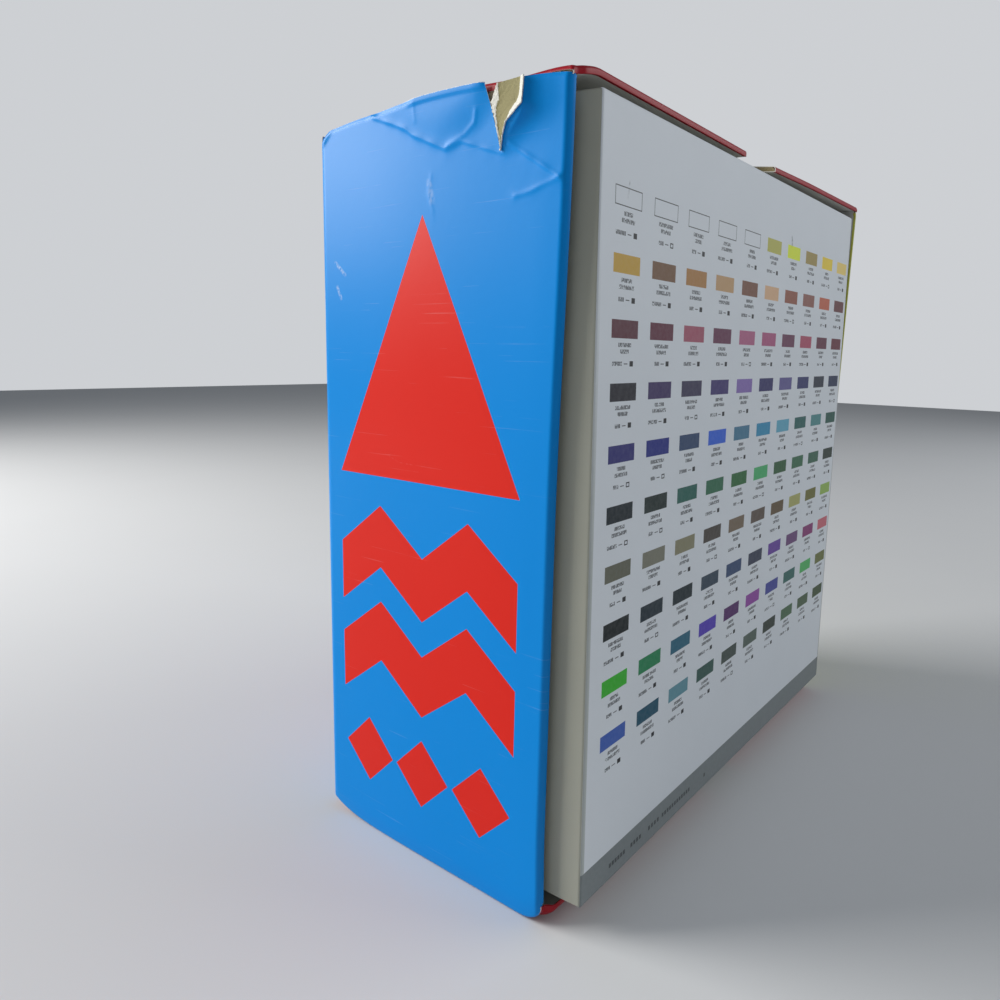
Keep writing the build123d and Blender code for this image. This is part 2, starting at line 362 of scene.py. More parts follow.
# hairline scratches, rub marks and dull patches of a thin gloss film over print
def filmMarksGroup():
    group, start, end = newGroup(
        "filmMarks", {"Place": None, "Colour": None, "Wear": 0.0, "Hairlines": 0.3},
        ["Colour", "Roughness", "Height"])
    place, wear = start["Place"], start["Wear"]
    hair = 0.0
    for turn, threshold in ((0.9, 0.735), (2.1, 0.75)):
        lines = noise(group, stretch(group, place, (turn, 0.3, 0.2), (26.0, 26.0, 1500.0)), 1.0, 1.0)
        hair = calc(group, "MAXIMUM", isAbove(group, lines, threshold), hair)
    patches = ramp(group, noise(group, place, 60.0, 5.0), 0.42, 3.0)
    hair = times(group, times(group, hair, patches), start["Hairlines"])
    ragged = plus(group, wear, minus(group, noise(group, place, 1800.0, 3.0), 0.5))
    bare = times(group, ramp(group, ragged, 0.62, 5.0), isAbove(group, wear, 0.05))
    lighter = mixColours(group, times(group, hair, 0.35), start["Colour"], (0.85, 0.88, 0.9, 1))
    rough = calc(group, "MULTIPLY_ADD", noise(group, place, 14.0, 2.0), 0.16, 0.26)
    fill(group, end, {
        "Colour": mixColours(group, bare, lighter, (0.78, 0.8, 0.8, 1)),
        "Roughness": plus(group, rough, times(group, plus(group, bare, hair), 0.3)),
        "Height": minus(group, noise(group, place, 420.0, 2.0), times(group, hair, 0.6))})
    return group


# a straight rub or scratch from one point of the wall to another, fading at its ends
def strokeGroup():
    group, start, end = newGroup(
        "rubStroke", {"Place": None, "Start": None, "End": None, "Width": 0.0005}, ["Mask"])
    fromStart = vectorCalc(group, "SUBTRACT", start["Place"], start["Start"])
    along = vectorCalc(group, "SUBTRACT", start["End"], start["Start"])
    reach = vectorCalc(group, "DOT_PRODUCT", fromStart, along, output="Value")
    length = vectorCalc(group, "DOT_PRODUCT", along, along, output="Value")
    share = calc(group, "DIVIDE", reach, length, clamp=True)
    nearest = vectorCalc(group, "SCALE", along, Scale=share)
    gap = vectorCalc(group, "DISTANCE", fromStart, nearest, output="Value")
    edge = minus(group, 1.0, calc(group, "DIVIDE", gap, start["Width"]), clamp=True)
    fade = times(group, times(group, share, minus(group, 1.0, share)), 6.0, clamp=True)
    broken = ramp(group, noise(group, start["Place"], 900.0, 3.0), 0.36, 4.0)
    fill(group, end, {"Mask": times(group, times(group, edge, fade), broken)})
    return group


# an upright diamond, or with a floor its upper half, a triangle
def diamondGroup():
    group, start, end = newGroup(
        "diamondShape", {"Across": 0.0, "Up": 0.0, "Middle": 0.0, "Base": 0.0, "HalfWidth": 0.04,
                         "HalfHeight": 0.04, "Floor": -1.0}, ["Mask"])
    across = calc(group, "ABSOLUTE", minus(group, start["Across"], start["Middle"]))
    rise = minus(group, start["Up"], start["Base"])
    reach = plus(group, calc(group, "DIVIDE", across, start["HalfWidth"]),
                 calc(group, "DIVIDE", calc(group, "ABSOLUTE", rise), start["HalfHeight"]))
    inside = isBelow(group, reach, 1.0)
    fill(group, end, {"Mask": times(group, inside, isAbove(group, rise, start["Floor"]))})
    return group


# a band that runs up and down between two heights, cut off at both its ends
def zigzagGroup():
    group, start, end = newGroup(
        "zigzagBand", {"Across": 0.0, "Up": 0.0, "Middle": 0.0, "Height": 0.0, "HalfWidth": 0.04,
                       "Step": 0.02, "Rise": 0.7, "Thickness": 0.01}, ["Mask"])
    across = minus(group, start["Across"], start["Middle"])
    fold = calc(group, "PINGPONG", plus(group, across, start["HalfWidth"]), start["Step"])
    line = calc(group, "MULTIPLY_ADD", fold, start["Rise"], start["Height"])
    gap = calc(group, "ABSOLUTE", minus(group, start["Up"], line))
    inBand = isBelow(group, gap, times(group, start["Thickness"], 0.5))
    inWidth = isBelow(group, calc(group, "ABSOLUTE", across), start["HalfWidth"])
    fill(group, end, {"Mask": times(group, inBand, inWidth)})
    return group


paperTooth = paperToothGroup()
filmMarks = filmMarksGroup()
rubStroke = strokeGroup()
diamondShape = diamondGroup()
zigzagBand = zigzagGroup()


def newMaterial(name):
    material = bpy.data.materials.new(name)
    material.use_nodes = True
    tree = material.node_tree
    place = tree.nodes.new("ShaderNodeTexCoord").outputs["Object"]
    return material, tree, tree.nodes["Principled BSDF"].inputs, place


# fills the shader, with a bump of this strength and depth in metres
def finishShader(tree, shader, values, height, strength, depth):
    relief = addNode(tree, "ShaderNodeBump", {"Height": height, "Strength": strength, "Distance": depth})
    fill(tree, shader, {**values, "Normal": relief.outputs[0]})


def paperMaterial(name, colour, tint, fibre, roughness, specular=0.25, relief=0.3, depth=0.00005):
    material, tree, shader, place = newMaterial(name)
    out = useGroup(tree, paperTooth, Place=place, Colour=colour + (1,), Tint=tint, Fibre=fibre)
    values = {"Base Color": out["Colour"], "Roughness": roughness, "Specular IOR Level": specular}
    finishShader(tree, shader, values, out["Height"], relief, depth)
    return material


# laminated print: a ground colour, generic figures in flat colours, marks and wear
def printMaterial(name, ground, figures=(), strokes=(), hairlines=0.3, axis="Y", specular=0.3):
    material, tree, shader, place = newMaterial(name)
    place = vectorCalc(tree, "ADD", place, (0, 0, -sag * mm))
    split = addNode(tree, "ShaderNodeSeparateXYZ", {0: place})
    across, up = split.outputs[axis], split.outputs["Z"]
    colour = ground + (1,)
    for group, ink, values in figures:
        mask = useGroup(tree, group, Across=across, Up=up, **values)["Mask"]
        colour = mixColours(tree, mask, colour, ink + (1,))
    for begin, finish, width, strength in strokes:
        mask = useGroup(tree, rubStroke, Place=place, Start=begin, End=finish, Width=width)["Mask"]
        colour = mixColours(tree, times(tree, mask, strength), colour, (0.82, 0.86, 0.9, 1))
    wear = addNode(tree, "ShaderNodeAttribute", attribute_name="wear").outputs["Fac"]
    out = useGroup(tree, filmMarks, Place=place, Colour=colour, Wear=wear, Hairlines=hairlines)
    values = {"Base Color": out["Colour"], "Roughness": out["Roughness"], "Specular IOR Level": specular}
    finishShader(tree, shader, values, out["Height"], 0.12, 0.0001)
    return material


inks = {
    "blue": (0.0, 0.265, 0.76),
    "red": (0.76, 0.022, 0.012),
    "deepRed": (0.36, 0.004, 0.014),
    "yellowGreen": (0.52, 0.52, 0.07),
    "white": (0.62, 0.64, 0.64),
}


# Generic figures of the print, each as its group, its ink and the group's values

def triangle(ink, middle, base, halfWidth, height):
    return diamondShape, inks[ink], {"Middle": middle * mm, "Base": base * mm, "HalfWidth": halfWidth * mm,
                                     "HalfHeight": height * mm, "Floor": 0.0}


def diamond(ink, middle, base, half):
    return diamondShape, inks[ink], {"Middle": middle * mm, "Base": base * mm,
                                     "HalfWidth": half * mm, "HalfHeight": half * mm}


def zigzag(ink, middle, height, halfWidth, step, rise, thickness):
    return zigzagBand, inks[ink], {"Middle": middle * mm, "Height": height * mm, "HalfWidth": halfWidth * mm,
                                   "Step": step * mm, "Rise": rise, "Thickness": thickness * mm}


# A tall triangle over two zigzag bands and three small diamonds
blueFigures = [triangle("red", 7, 126, 39, 80)]
blueFigures += [zigzag("red", 7, height, 39, 19.5, 0.75, 21) for height in (91, 58)]
blueFigures += [diamond("red", 7 + 26 * i, 27, 12) for i in (-1, 0, 1)]
greenFigures = [zigzag("blue", 4, 60 + 50 * i, 36, 18, 0.6, 12) for i in range(3)]
faceFigures = [triangle("red", -42, 118, 60, 92), triangle("yellowGreen", 50, 118, 50, 66),
               zigzag("white", 0.0, 82, 100, 25, 0.75, 16), zigzag("red", 0.0, 48, 100, 25, 0.75, 24)]

# Rubs of the blue wall, as (from, to, width, strength), each point (y, z)
wallRubs = [
    ((0, 199), (13, 186), 0.5, 0.8), ((13, 186), (28, 171), 0.5, 0.7),
    ((-2, 197), (11, 184), 0.35, 0.6), ((11, 184), (25, 170), 0.35, 0.5),
    ((26, 185), (13, 170), 0.4, 0.5), ((34, 167), (22, 159), 0.4, 0.6),
    ((24.5, 134), (17.5, 131.6), 0.5, 0.7), ((17.5, 131.6), (10.6, 131.4), 0.5, 0.6),
    ((48, 195), (42, 190), 0.9, 0.9), ((47, 187.5), (44.5, 182.5), 0.9, 0.9),
    ((54.2, 187), (54, 174), 0.9, 1.0), ((4.5, 216), (2.8, 208), 1.6, 0.35),
    ((54.6, 231), (53.8, 150), 0.5, 0.5), ((-20, 60), (-6, 44), 0.35, 0.4),
    ((38, 120), (30, 96), 0.35, 0.4), ((-12, 150), (-26, 128), 0.3, 0.4),
]
blueStrokes = [([part * mm for part in (-lidHalf, *a)], [part * mm for part in (-lidHalf, *b)],
                width * mm, strength) for a, b, width, strength in wallRubs]

bluePrint = printMaterial("bluePrint", inks["blue"], blueFigures, blueStrokes, specular=0.15)
redPrint = printMaterial("redPrint", inks["deepRed"], hairlines=0.25, specular=0.18)
greenPrint = printMaterial("yellowGreenPrint", inks["yellowGreen"], greenFigures, hairlines=0.25)
facePrint = printMaterial("facePrint", inks["blue"], faceFigures, axis="X")
paperCore = paperMaterial("paperCore", (0.78, 0.76, 0.7), 0.15, 0.1, 0.8)
liningPaper = paperMaterial("liningPaper", (0.7, 0.7, 0.68), 0.08, 0.03, 0.75)
# the base's white wrapping paper: a slightly grey card, written darker and more olive still as painted shade
# of the base walls that sit in the lid's shadow
shadedWhitePaper = paperMaterial("shadedWhitePaper", (0.43, 0.435, 0.365), 0.12, 0.03, 0.6)
whiteBoard = paperMaterial("whiteBoard", (0.66, 0.66, 0.62), 0.12, 0.06, 0.8)
trayCard = paperMaterial("trayCard", (0.72, 0.71, 0.67), 0.1, 0.05, 0.75)
stayTape = paperMaterial("stayTape", (0.5, 0.4, 0.27), 0.2, 0.2, 0.7)
greyBoard = paperMaterial("greyBoard", (0.3, 0.25, 0.14), 0.5, 0.3, 0.9, 0.15, 0.8, 0.00015)
print("print and paper materials made")


# Shape of the lid: crowned long walls, an upper rim that bulges, and how paper folds over a rim
rimBulge = {"corner": 1.9, "top": 3.6, "topX": -106.0, "slope": 0.0175, "least": 1.75, "far": 2.4,
            "reach": 24.0, "crushed": 1.4, "crushStart": 47}
# The rim of the left wall lies back from the others, most from mid-height down
leftRim = {"back": 2.9, "lessAtTop": 1.75, "top": (120, 232), "lessAtFoot": 0.5, "foot": (25, 0),
           "reach": 16}


def crownRise(y):
    return math.sqrt(crownRadius ** 2 - (y - middleY) ** 2) - crownRadius + crown


# how far the upper long wall stands above the corner height at this place
def upperLift(x, y):
    nearCorner = smoothStep(-lidHalf, rimBulge["topX"], x)
    lift = rimBulge["corner"] + (rimBulge["top"] - rimBulge["corner"]) * nearCorner
    if x > rimBulge["topX"]:
        lift = max(rimBulge["least"], rimBulge["top"] - rimBulge["slope"] * (x - rimBulge["topX"]))
        lift += (rimBulge["far"] - rimBulge["least"]) * smoothStep(0, 60, x)
    crushed = rimBulge["crushed"] * smoothStep(rimBulge["crushStart"], backY, y) ** 2
    crushed *= smoothStep(-lidHalf + 16, -lidHalf, x)
    return crownRise(y) + lift * smoothStep(rimY + rimBulge["reach"], rimY, y) - crushed


# how far the lower long wall hangs below its corners
def soleDrop(y):
    share = min(1, abs(y - middleY) / (lidDepth / 2))
    return sag * (1 - share ** (18 if y < middleY else 6))


def pullRim(spot):
    x, y, z = spot
    back = leftRim["back"] - leftRim["lessAtTop"] * smoothStep(*leftRim["top"], z)
    back -= leftRim["lessAtFoot"] * smoothStep(*leftRim["foot"], z)
    near = smoothStep(lidHalf - 4.5, lidHalf - 2.3, -x) * smoothStep(rimY + leftRim["reach"], rimY, y)
    return x, y + back * near, z


# place (y, inward) of a point of a sheet that folds over the rim; a is its flat y
def overRim(a, outer):
    inner, wall = layers["innerRadius"], layers["wall"]
    past = rimY + outer - a
    if past <= 0:
        return a, 0.0
    turn = past / outer
    if turn <= math.pi / 2:
        return rimY + outer - outer * math.sin(turn), outer - outer * math.cos(turn)
    past -= outer * math.pi / 2
    if past <= wall - outer - inner:
        return rimY, outer + past
    past -= wall - outer - inner
    turn = past / inner
    if turn <= math.pi / 2:
        return rimY + inner - inner * math.cos(turn), wall - inner + inner * math.sin(turn)
    return rimY + inner + past - inner * math.pi / 2, wall


# place along a panel and inward drop where its border bends round a fold
def overFold(a, low, high, radius, limit=math.pi / 4):
    for fold, way in ((low, -1), (high, 1)):
        past = (a - fold) * way + radius
        if past > 0:
            turn = min(past / radius, limit)
            return fold - way * (radius - radius * math.sin(turn)), radius - radius * math.cos(turn)
    return a, 0.0


# the same for a lid wall, from the fold at the closed face to the rim
def overWall(a, outer, fold):
    if a > backY - fold - 0.001:
        return overFold(a, -1000, backY, fold)
    return overRim(a, outer)


# place along a sheet and depth under it where it folds down over its edge
def overEdge(a, half, fold):
    past = abs(a) - (half - fold)
    if past <= 0:
        return a, 0.0
    turn = min(past / fold, math.pi / 2)
    down = fold - fold * math.cos(turn) + max(0, past - fold * math.pi / 2)
    return math.copysign(half - fold + fold * math.sin(turn), a), down


# grid lines from the end of the turned-in margin, round the rim, to the flat wall
def rimLines(outer):
    inner = layers["innerRadius"]
    lines = [rimY + outer - outer * math.pi / 2 * i / 6 for i in range(7)]
    lines.append(lines[-1] - (layers["wall"] - outer - inner))
    lines += [lines[-1] - inner * math.pi / 2 * i / 2 for i in (1, 2)]
    lines += [lines[-1] - (layers["turnIn"] - inner) * i / 3 for i in (1, 2, 3)]
    return sorted(lines)


def foldLines(fold, way, radius):
    return [fold - way * radius + way * radius * math.pi / 4 * i / 4 for i in range(5)]


def distanceToLine(point, line):
    best = 1e9
    for a, b in zip(line, line[1:]):
        ax, az = a
        bx, bz = b[0] - ax, b[1] - az
        px, pz = point[0] - ax, point[1] - az
        share = min(1, max(0, (px * bx + pz * bz) / (bx * bx + bz * bz)))
        best = min(best, math.hypot(px - bx * share, pz - bz * share))
    return best


def insideOutline(point, outline):
    inside = False
    for (ax, az), (bx, bz) in zip(outline, outline[1:] + outline[:1]):
        if (az > point[1]) != (bz > point[1]):
            if point[0] < (bx - ax) * (point[1] - az) / (bz - az) + ax:
                inside = not inside
    return inside


# cuts the left wall's sheet along each stretch of a line, only near that stretch
def cutAlong(piece, line, width):
    for a, b in zip(line, line[1:]):
        pickFaces(piece, lambda centre, normal: distanceToLine((centre.y, centre.z), [a, b]) < width)
        along = Vector((0, b[0] - a[0], b[1] - a[1])).normalized()
        across = Vector((0, -along.z, along.y))
        bpy.ops.mesh.bisect(plane_co=Vector((-lidHalf, a[0], a[1])) * mm, plane_no=across, threshold=0.0)
        objectMode()


notch = {"radius": 13.5, "sides": 96}


# cuts the thumb notches out of a piece with a round cutter
def cutNotch(piece):
    radius = notch["radius"]
    deselectAll()
    bpy.ops.mesh.primitive_cylinder_add(vertices=notch["sides"], radius=radius * mm, depth=2 * crownZ * mm,
                                        location=(0, rimY * mm, crownZ / 2 * mm))
    cutter = bpy.context.object
    applyModifier(piece, "BOOLEAN", operation="DIFFERENCE", solver="EXACT", use_self=True, object=cutter)
    bpy.data.objects.remove(cutter, do_unlink=True)
    for face in piece.data.polygons:
        spot = face.center / mm
        if abs(math.hypot(spot.x, spot.y - rimY) - radius) < 0.1 and abs(face.normal.z) < 0.3:
            face.material_index = 1


# Blue end wall, with its creases, its tear and its crushed corner
blueWall = {
    "rimRadius": 1.85, "foldRadius": 1.2, "step": 0.5, "rimWear": 0.42,
    "creases": [
        [(30.0, 236.6), (21.0, 233.4), (14.0, 230.6), (10.7, 228.4), (-2.2, 222.9), (-8.3, 224.1),
         (-22.6, 219.2)],
        [(-3.0, 223.6), (-9.4, 225.5), (-13.1, 228.0), (-13.8, 231.0)],
        [(-25.3, 221.2), (-32.0, 217.1), (-43.4, 210.8)],
        [(-43.4, 210.8), (-38.1, 209.6), (-33.3, 208.4), (-27.6, 207.6)],
        [(9.9, 236.4), (9.7, 232.0)],
        [(3.5, 216.5), (4.6, 211.5), (2.6, 206.5)],
    ],
    "creaseHeights": [0.34, 0.26, 0.34, 0.26, 0.12, 0.1],
    "tear": [(-16.7, 240.0), (-16.9, 237.2), (-18.7, 231.6), (-20.6, 225.6), (-22.5, 219.3),
             (-24.1, 223.0), (-26.1, 226.0), (-28.8, 227.9), (-31.3, 229.5), (-32.1, 240.0)],
    "crushedCrease": [(54.6, 230.0), (47.6, 236.4)],
}
# The print right of the tear curls up: a lifted point also moves sideways and down, as it turns about a line
flap = {"lift": 3.0, "curl": 5.6, "foot": 216, "sideways": 0.79, "down": 0.41}


# height of the raw upper edge of the blue print
def blueTopEdge(y):
    edge = cornerZ + crownRise(y) + 0.05 + 0.35 * smoothStep(-12, -40, y) + 0.4 * smoothStep(-44, -52, y)
    edge -= 0.5 * bump(y, 22, 11)
    return edge - rimBulge["crushed"] * smoothStep(rimBulge["crushStart"], backY, y) ** 2


# how far the print right of the tear is lifted towards its torn edge
def flapLift(y, z):
    if y > min(-20, -23.1 + 0.31 * (z - 219.3)) or z < flap["foot"]:
        return 0.0
    tornY = -22.6 - 7.2 * smoothStep(219, 231, z)
    curl = math.exp(-max(0, tornY - y) / flap["curl"])
    return flap["lift"] * smoothStep(217, 231, z) * curl * smoothStep(-50.0, -38.0, y)


def noLift(y, z):
    return 0.0


# how far the blue sheet stands out of its flat place, and how worn it is there
def blueRelief(y, z):
    out, wear = 0.42 * smoothStep(0, 6, z), 0.0
    if z > 205:
        # the panel over the long crease is loose and stands out towards its upper edge
        above = z - (222.0 + 0.55 * (math.hypot(y + 2, 8) - 8))
        out += 1.0 * smoothStep(-1, 12, above) * smoothStep(32, 22, y) * smoothStep(-24, -13, y)
        # and that edge, bare paper, is bent out further as a narrow strip
        strip = smoothStep(15, 9, y) * smoothStep(-18, -15.5, y)
        below = blueTopEdge(y) - z
        out += 0.8 * strip * min(1, max(0, 1 - below / 2.3))
        wear = smoothStep(24, 12, y) * smoothStep(-20, -16, y) * bump(max(0, below - 0.25), 0, 0.2)
    for crease, height in zip(blueWall["creases"], blueWall["creaseHeights"]):
        gap = distanceToLine((y, z), crease)
        if gap < 6:
            waver = 0.85 + 0.15 * math.sin(0.8 * y + 0.5 * z)
            out += height * waver * (0.5 * math.exp(-gap / 1.3) + 0.5 * bump(gap, 0, 0.5))
            wear = max(wear, (0.5 if height > 0.2 else 0.22) * waver * bump(gap, 0, 0.5))
    corner = distanceToLine((y, z), blueWall["crushedCrease"])
    out += 0.25 * bump(corner, 0, 0.8) - 0.35 * smoothStep(0, 3, (y + z - 284.3) / 1.4)
    wear = max(wear, 0.4 * bump(corner, 0, 0.4))
    out += 0.08 * (1 + math.sin(y * 0.09 + 0.4) * math.sin(z * 0.035 + 1.1)) * smoothStep(rimY, rimY + 12, y)
    edge = min(z - 0.5, backY - y)
    wear = max(wear, 0.5 * bump(max(0, edge), 0, 0.7))
    return max(0.02, out), min(wear, 1)


# print on an end wall: side is -1 for the left end and 1 for the right
def wallSheet(name, side, settings, topEdge, relief, lift, upLines):
    outer, fold = settings["rimRadius"], settings["foldRadius"]
    across = rimLines(outer)
    across += lineRuns((across[-1], backY - fold, settings["step"]))[1:-1]
    across += foldLines(backY, 1, fold)
    sheet = addSheet(name, across, upLines)
    wear = []

    def place(flat):
        y, inward = overWall(flat.x, outer, fold)
        z, drop = overFold(flat.y, 0.0, 1000, fold, 1.4)
        z *= topEdge(max(rimY, min(backY, y))) / cornerZ
        lean = 0.5 * smoothStep(1.6, 0, topEdge(y) - z)
        out, worn = relief(y, z)
        out *= smoothStep(1.2, 0.0, inward) * smoothStep(backY, backY - 2.5, y)
        if inward > 0.02:
            worn = max(worn, settings["rimWear"] * bump(inward, outer * 0.35, 0.4))
        wear.append(worn)
        free = lift(y, z)
        z -= soleDrop(y) * smoothStep(60, 0, z) + flap["down"] * free
        x = side * (lidHalf - inward - drop - lean + out + free)
        return pullRim((x, y - flap["sideways"] * free, z))

    moveVertices(sheet, place)
    storeWear(sheet, wear)
    # the folded margin stops short of both long walls
    deleteFaces(sheet, lambda centre, normal: lidHalf - abs(centre.x) > 0.8 * outer
                and not 2.1 < centre.z < cornerZ - 0.4 and centre.y < rimY + 5)
    return sheet


def finishPrint(sheet, material):
    dress(sheet, material, paperCore)
    faceOutwards(sheet, lidMiddle)
    solidify(sheet, layers["paper"], use_even_offset=True, material_offset_rim=1)


lowerFold = [-0.48, -0.2, 0.1, 0.4, 0.7, 0.95]
upRuns = ((1.2, 12, 1.6), (12, 203.0, 3.5), (203.0, 238.0 * cornerZ / crownZ, 0.48))
blueSheet = wallSheet("blueWallPrint", -1, blueWall, blueTopEdge, blueRelief, flapLift,
                      lowerFold + lineRuns(*upRuns))
cutAlong(blueSheet, blueWall["tear"], 0.9)
deleteFaces(blueSheet, lambda centre, normal: centre.x < -lidHalf + 4
            and insideOutline((centre.y, centre.z), blueWall["tear"]) and centre.z > 219)
finishPrint(blueSheet, bluePrint)
smoothBy(blueSheet, 50)
finishLid(blueSheet, "blue_print", ["lid_left_wrap"])


# Yellow-green end wall, whole but rubbed at its edges
greenWall = {"rimRadius": 1.5, "foldRadius": 1.2, "step": 2.5, "rimWear": 0.3}


def greenTopEdge(y):
    return cornerZ + crownRise(y) - 0.35


def greenRelief(y, z):
    out = 0.14 * (1 + math.sin(y * 0.07) * math.sin(z * 0.03 + 0.6)) * smoothStep(rimY, rimY + 12, y)
    edge = min(z - 0.5, backY - y, max(0, greenTopEdge(y) - z))
    return out, 0.45 * bump(max(0, edge), 0, 0.8)


greenSheet = wallSheet("yellowGreenWallPrint", 1, greenWall, greenTopEdge, greenRelief, noLift,
                       lowerFold + lineRuns((1.2, 230.0, 2.5), (230.0, cornerZ, 0.7)))
finishPrint(greenSheet, greenPrint)
smoothBy(greenSheet, 50)
finishLid(greenSheet, "yellow_green_print", ["lid_right_wrap"])


# Red long walls, each with a thumb notch; their ends bend under the end walls' print
redWalls = {"rimRadius": 0.95, "foldRadius": 1.2, "step": 3.0, "skirt": 1.1, "clearance": 0.03,
            "setBack": 0.04}


# way is 1 for the upper wall, which is crowned, and -1 for the lower one
def redSheet(name, way):
    outer, fold = redWalls["rimRadius"], redWalls["foldRadius"]
    tuck = lidHalf - layers["paper"] - redWalls["clearance"]
    across = rimLines(outer)
    across += lineRuns((across[-1], rimY + 26, 1.2), (rimY + 26, backY - fold, redWalls["step"]))[1:-1]
    across += foldLines(backY, 1, fold)
    ends = [tuck - fold + fold * math.pi / 2 * i / 5 for i in range(6)]
    ends.append(tuck - fold + fold * math.pi / 2 + redWalls["skirt"])
    along = [-e for e in reversed(ends)]
    along += lineRuns((-tuck + fold, -92, 1.2), (-92, tuck - fold, 3.0))[1:-1] + ends
    sheet = addSheet(name, across, along)

    def place(flat):
        y, inward = overWall(flat.x, outer, fold)
        x, drop = overEdge(flat.y, tuck, fold)
        if way > 0:
            return pullRim((x, y - redWalls["setBack"], cornerZ + upperLift(x, y) - inward - drop))
        return pullRim((x, y - redWalls["setBack"], inward + drop - soleDrop(y)))

    def isLoose(centre, normal):
        level = cornerZ + upperLift(centre.x, centre.y) if way > 0 else -soleDrop(centre.y)
        return lidHalf - abs(centre.x) < 0.9 and abs(level - centre.z) > 1.5 and centre.y < rimY + 8

    def worn(spot):
        rim = bump(spot.y, rimY + 0.3, 0.7)
        end = bump(max(0, tuck - abs(spot.x)), 0, 0.8)
        spots = 0.5 + 0.5 * math.sin(spot.x * 0.7) * math.sin(spot.x * 0.23 + 1)
        return min(1, 0.42 * rim * spots + 0.45 * end)

    moveVertices(sheet, place)
    deleteFaces(sheet, isLoose)
    storeWear(sheet, [worn(point.co / mm) for point in sheet.data.vertices])
    finishPrint(sheet, redPrint)
    cutNotch(sheet)
    smoothBy(sheet, 50)
    return sheet


finishLid(redSheet("upperWallPrint", 1), "red_print", ["lid_upper_wrap"])
finishLid(redSheet("lowerWallPrint", -1), "red_print", ["lid_lower_wrap"])


# Print on the closed face
facePanel = {"foldRadius": 1.2, "step": 6.0}


def faceSheet():
    fold = facePanel["foldRadius"]
    lines = []
    for first, last in ((-lidHalf, lidHalf), (0, cornerZ)):
        low, high = foldLines(first, -1, fold)[::-1], foldLines(last, 1, fold)
        lines.append(low + lineRuns((low[-1], high[0], facePanel["step"]))[1:-1] + high)
    sheet = addSheet("closedFacePrint", *lines)

    def place(flat):
        x, inX = overFold(flat.x, -lidHalf, lidHalf, fold)
        z, inZ = overFold(flat.y, 0, cornerZ, fold)
        ripple = 0.12 * math.sin(flat.x * 0.03) * math.sin(flat.y * 0.025)
        ripple *= smoothStep(0, 20, min(lidHalf - abs(flat.x), flat.y, cornerZ - flat.y))
        return x, backY - inX - inZ + min(0, ripple), z

    def worn(spot):
        edge = min(lidHalf - abs(spot.x), spot.z, cornerZ - spot.z) - 0.3
        return 0.5 * bump(max(0, edge), 0, 0.8)

    moveVertices(sheet, place)
    storeWear(sheet, [worn(point.co / mm) for point in sheet.data.vertices])
    finishPrint(sheet, facePrint)
    smoothBy(sheet, 50)
    return sheet


finishLid(faceSheet(), "face_print", ["lid_face_wrap"])
print("lid print folded")


# Board of the lid, one folded shell with soft corners, and the white paper that lines it
boardShell = {"rimBevel": 1.4, "foldBevel": 1.1, "cuts": 27, "clearance": 0.04, "liningClearance": 0.02,
              "setBack": 0.44, "cornerCuts": (-114.5, -112.5, -110.5, -107.0, -105.0)}


# bends a lid layer to the crown, the bulged rim, the sagging lower wall and the left rim
def bendShell(piece, setBack=0.0):
    def place(s):
        rise = upperLift(s.x, max(rimY, s.y)) * smoothStep(200, cornerZ - 3, s.z)
        near = setBack * smoothStep(lidHalf - 1.0, lidHalf - 0.5, abs(s.x))
        near *= s.z < 16 or s.z > cornerZ - 16
        x = math.copysign(abs(s.x) - near, s.x)
        return pullRim((x, s.y, s.z + rise - soleDrop(s.y) * smoothStep(35, 3, s.z)))

    moveVertices(piece, place)


# box that is open at the rim, subdivided so that it can be crowned
def openShell(name, low, high, thickness):
    shell = addBlock(name, low, high)
    deleteFaces(shell, lambda centre, normal: normal.y < -0.9)
    editAll(shell)
    bpy.ops.mesh.subdivide(number_cuts=boardShell["cuts"])
    objectMode()
    for x in boardShell["cornerCuts"]:
        bisectAll(shell, (x, 0, 0), (1, 0, 0))
    tidyNormals(shell)
    faceOutwards(shell, Vector((0, (low[1] + high[1]) / 2, (low[2] + high[2]) / 2)))
    solidify(shell, thickness, use_even_offset=True)
    return shell


def isNear(a, b):
    return abs(a - b) < 0.01


def lidBoardShell():
    inset = layers["paper"] + boardShell["clearance"]
    low = (-lidHalf + inset, rimY + inset, inset)
    high = (lidHalf - inset, backY - inset, cornerZ - inset)
    shell = openShell("lidBoard", low, high, layers["board"])

    def isAtEnd(spot):
        return isNear(abs(spot.x), high[0])

    def isAtWall(spot):
        return isNear(spot.z, low[2]) or isNear(spot.z, high[2])

    def isOuterRim(p, q):
        return all(isNear(s.y, low[1]) and (isAtEnd(s) or isAtWall(s)) for s in (p, q))

    def isFold(p, q):
        if all(isNear(s.y, high[1]) and (isAtEnd(s) or isAtWall(s)) for s in (p, q)):
            return True
        return all(isAtEnd(s) and isAtWall(s) for s in (p, q)) and isNear(p.z, q.z) and isNear(p.x, q.x)

    pickEdges(shell, isOuterRim)
    bpy.ops.mesh.bevel(offset=boardShell["rimBevel"] * mm, segments=4, affect="EDGES")
    pickEdges(shell, isFold)
    bpy.ops.mesh.bevel(offset=boardShell["foldBevel"] * mm, segments=3, affect="EDGES")
    objectMode()
    dress(shell, greyBoard, greyBoard)
    bendShell(shell, boardShell["setBack"])
    cutNotch(shell)
    smoothBy(shell, 40)
    return shell


finishLid(lidBoardShell(), "grey_board",
          ["lid_face_board", "lid_upper_board", "lid_lower_board", "lid_left_board", "lid_right_board"])


def lidLining():
    inset = layers["paper"] + layers["board"] + boardShell["liningClearance"]
    low = (-lidHalf + inset, rimY + layers["turnIn"] - 0.1, inset)
    high = (lidHalf - inset, backY - inset, cornerZ - inset)
    lining = openShell("lidLining", low, high, layers["paper"])
    dress(lining, liningPaper, paperCore)
    bendShell(lining)
    cutNotch(lining)
    smoothBy(lining, 40)
    return lining


finishLid(lidLining(), "lining_paper", ["lid_liner"])


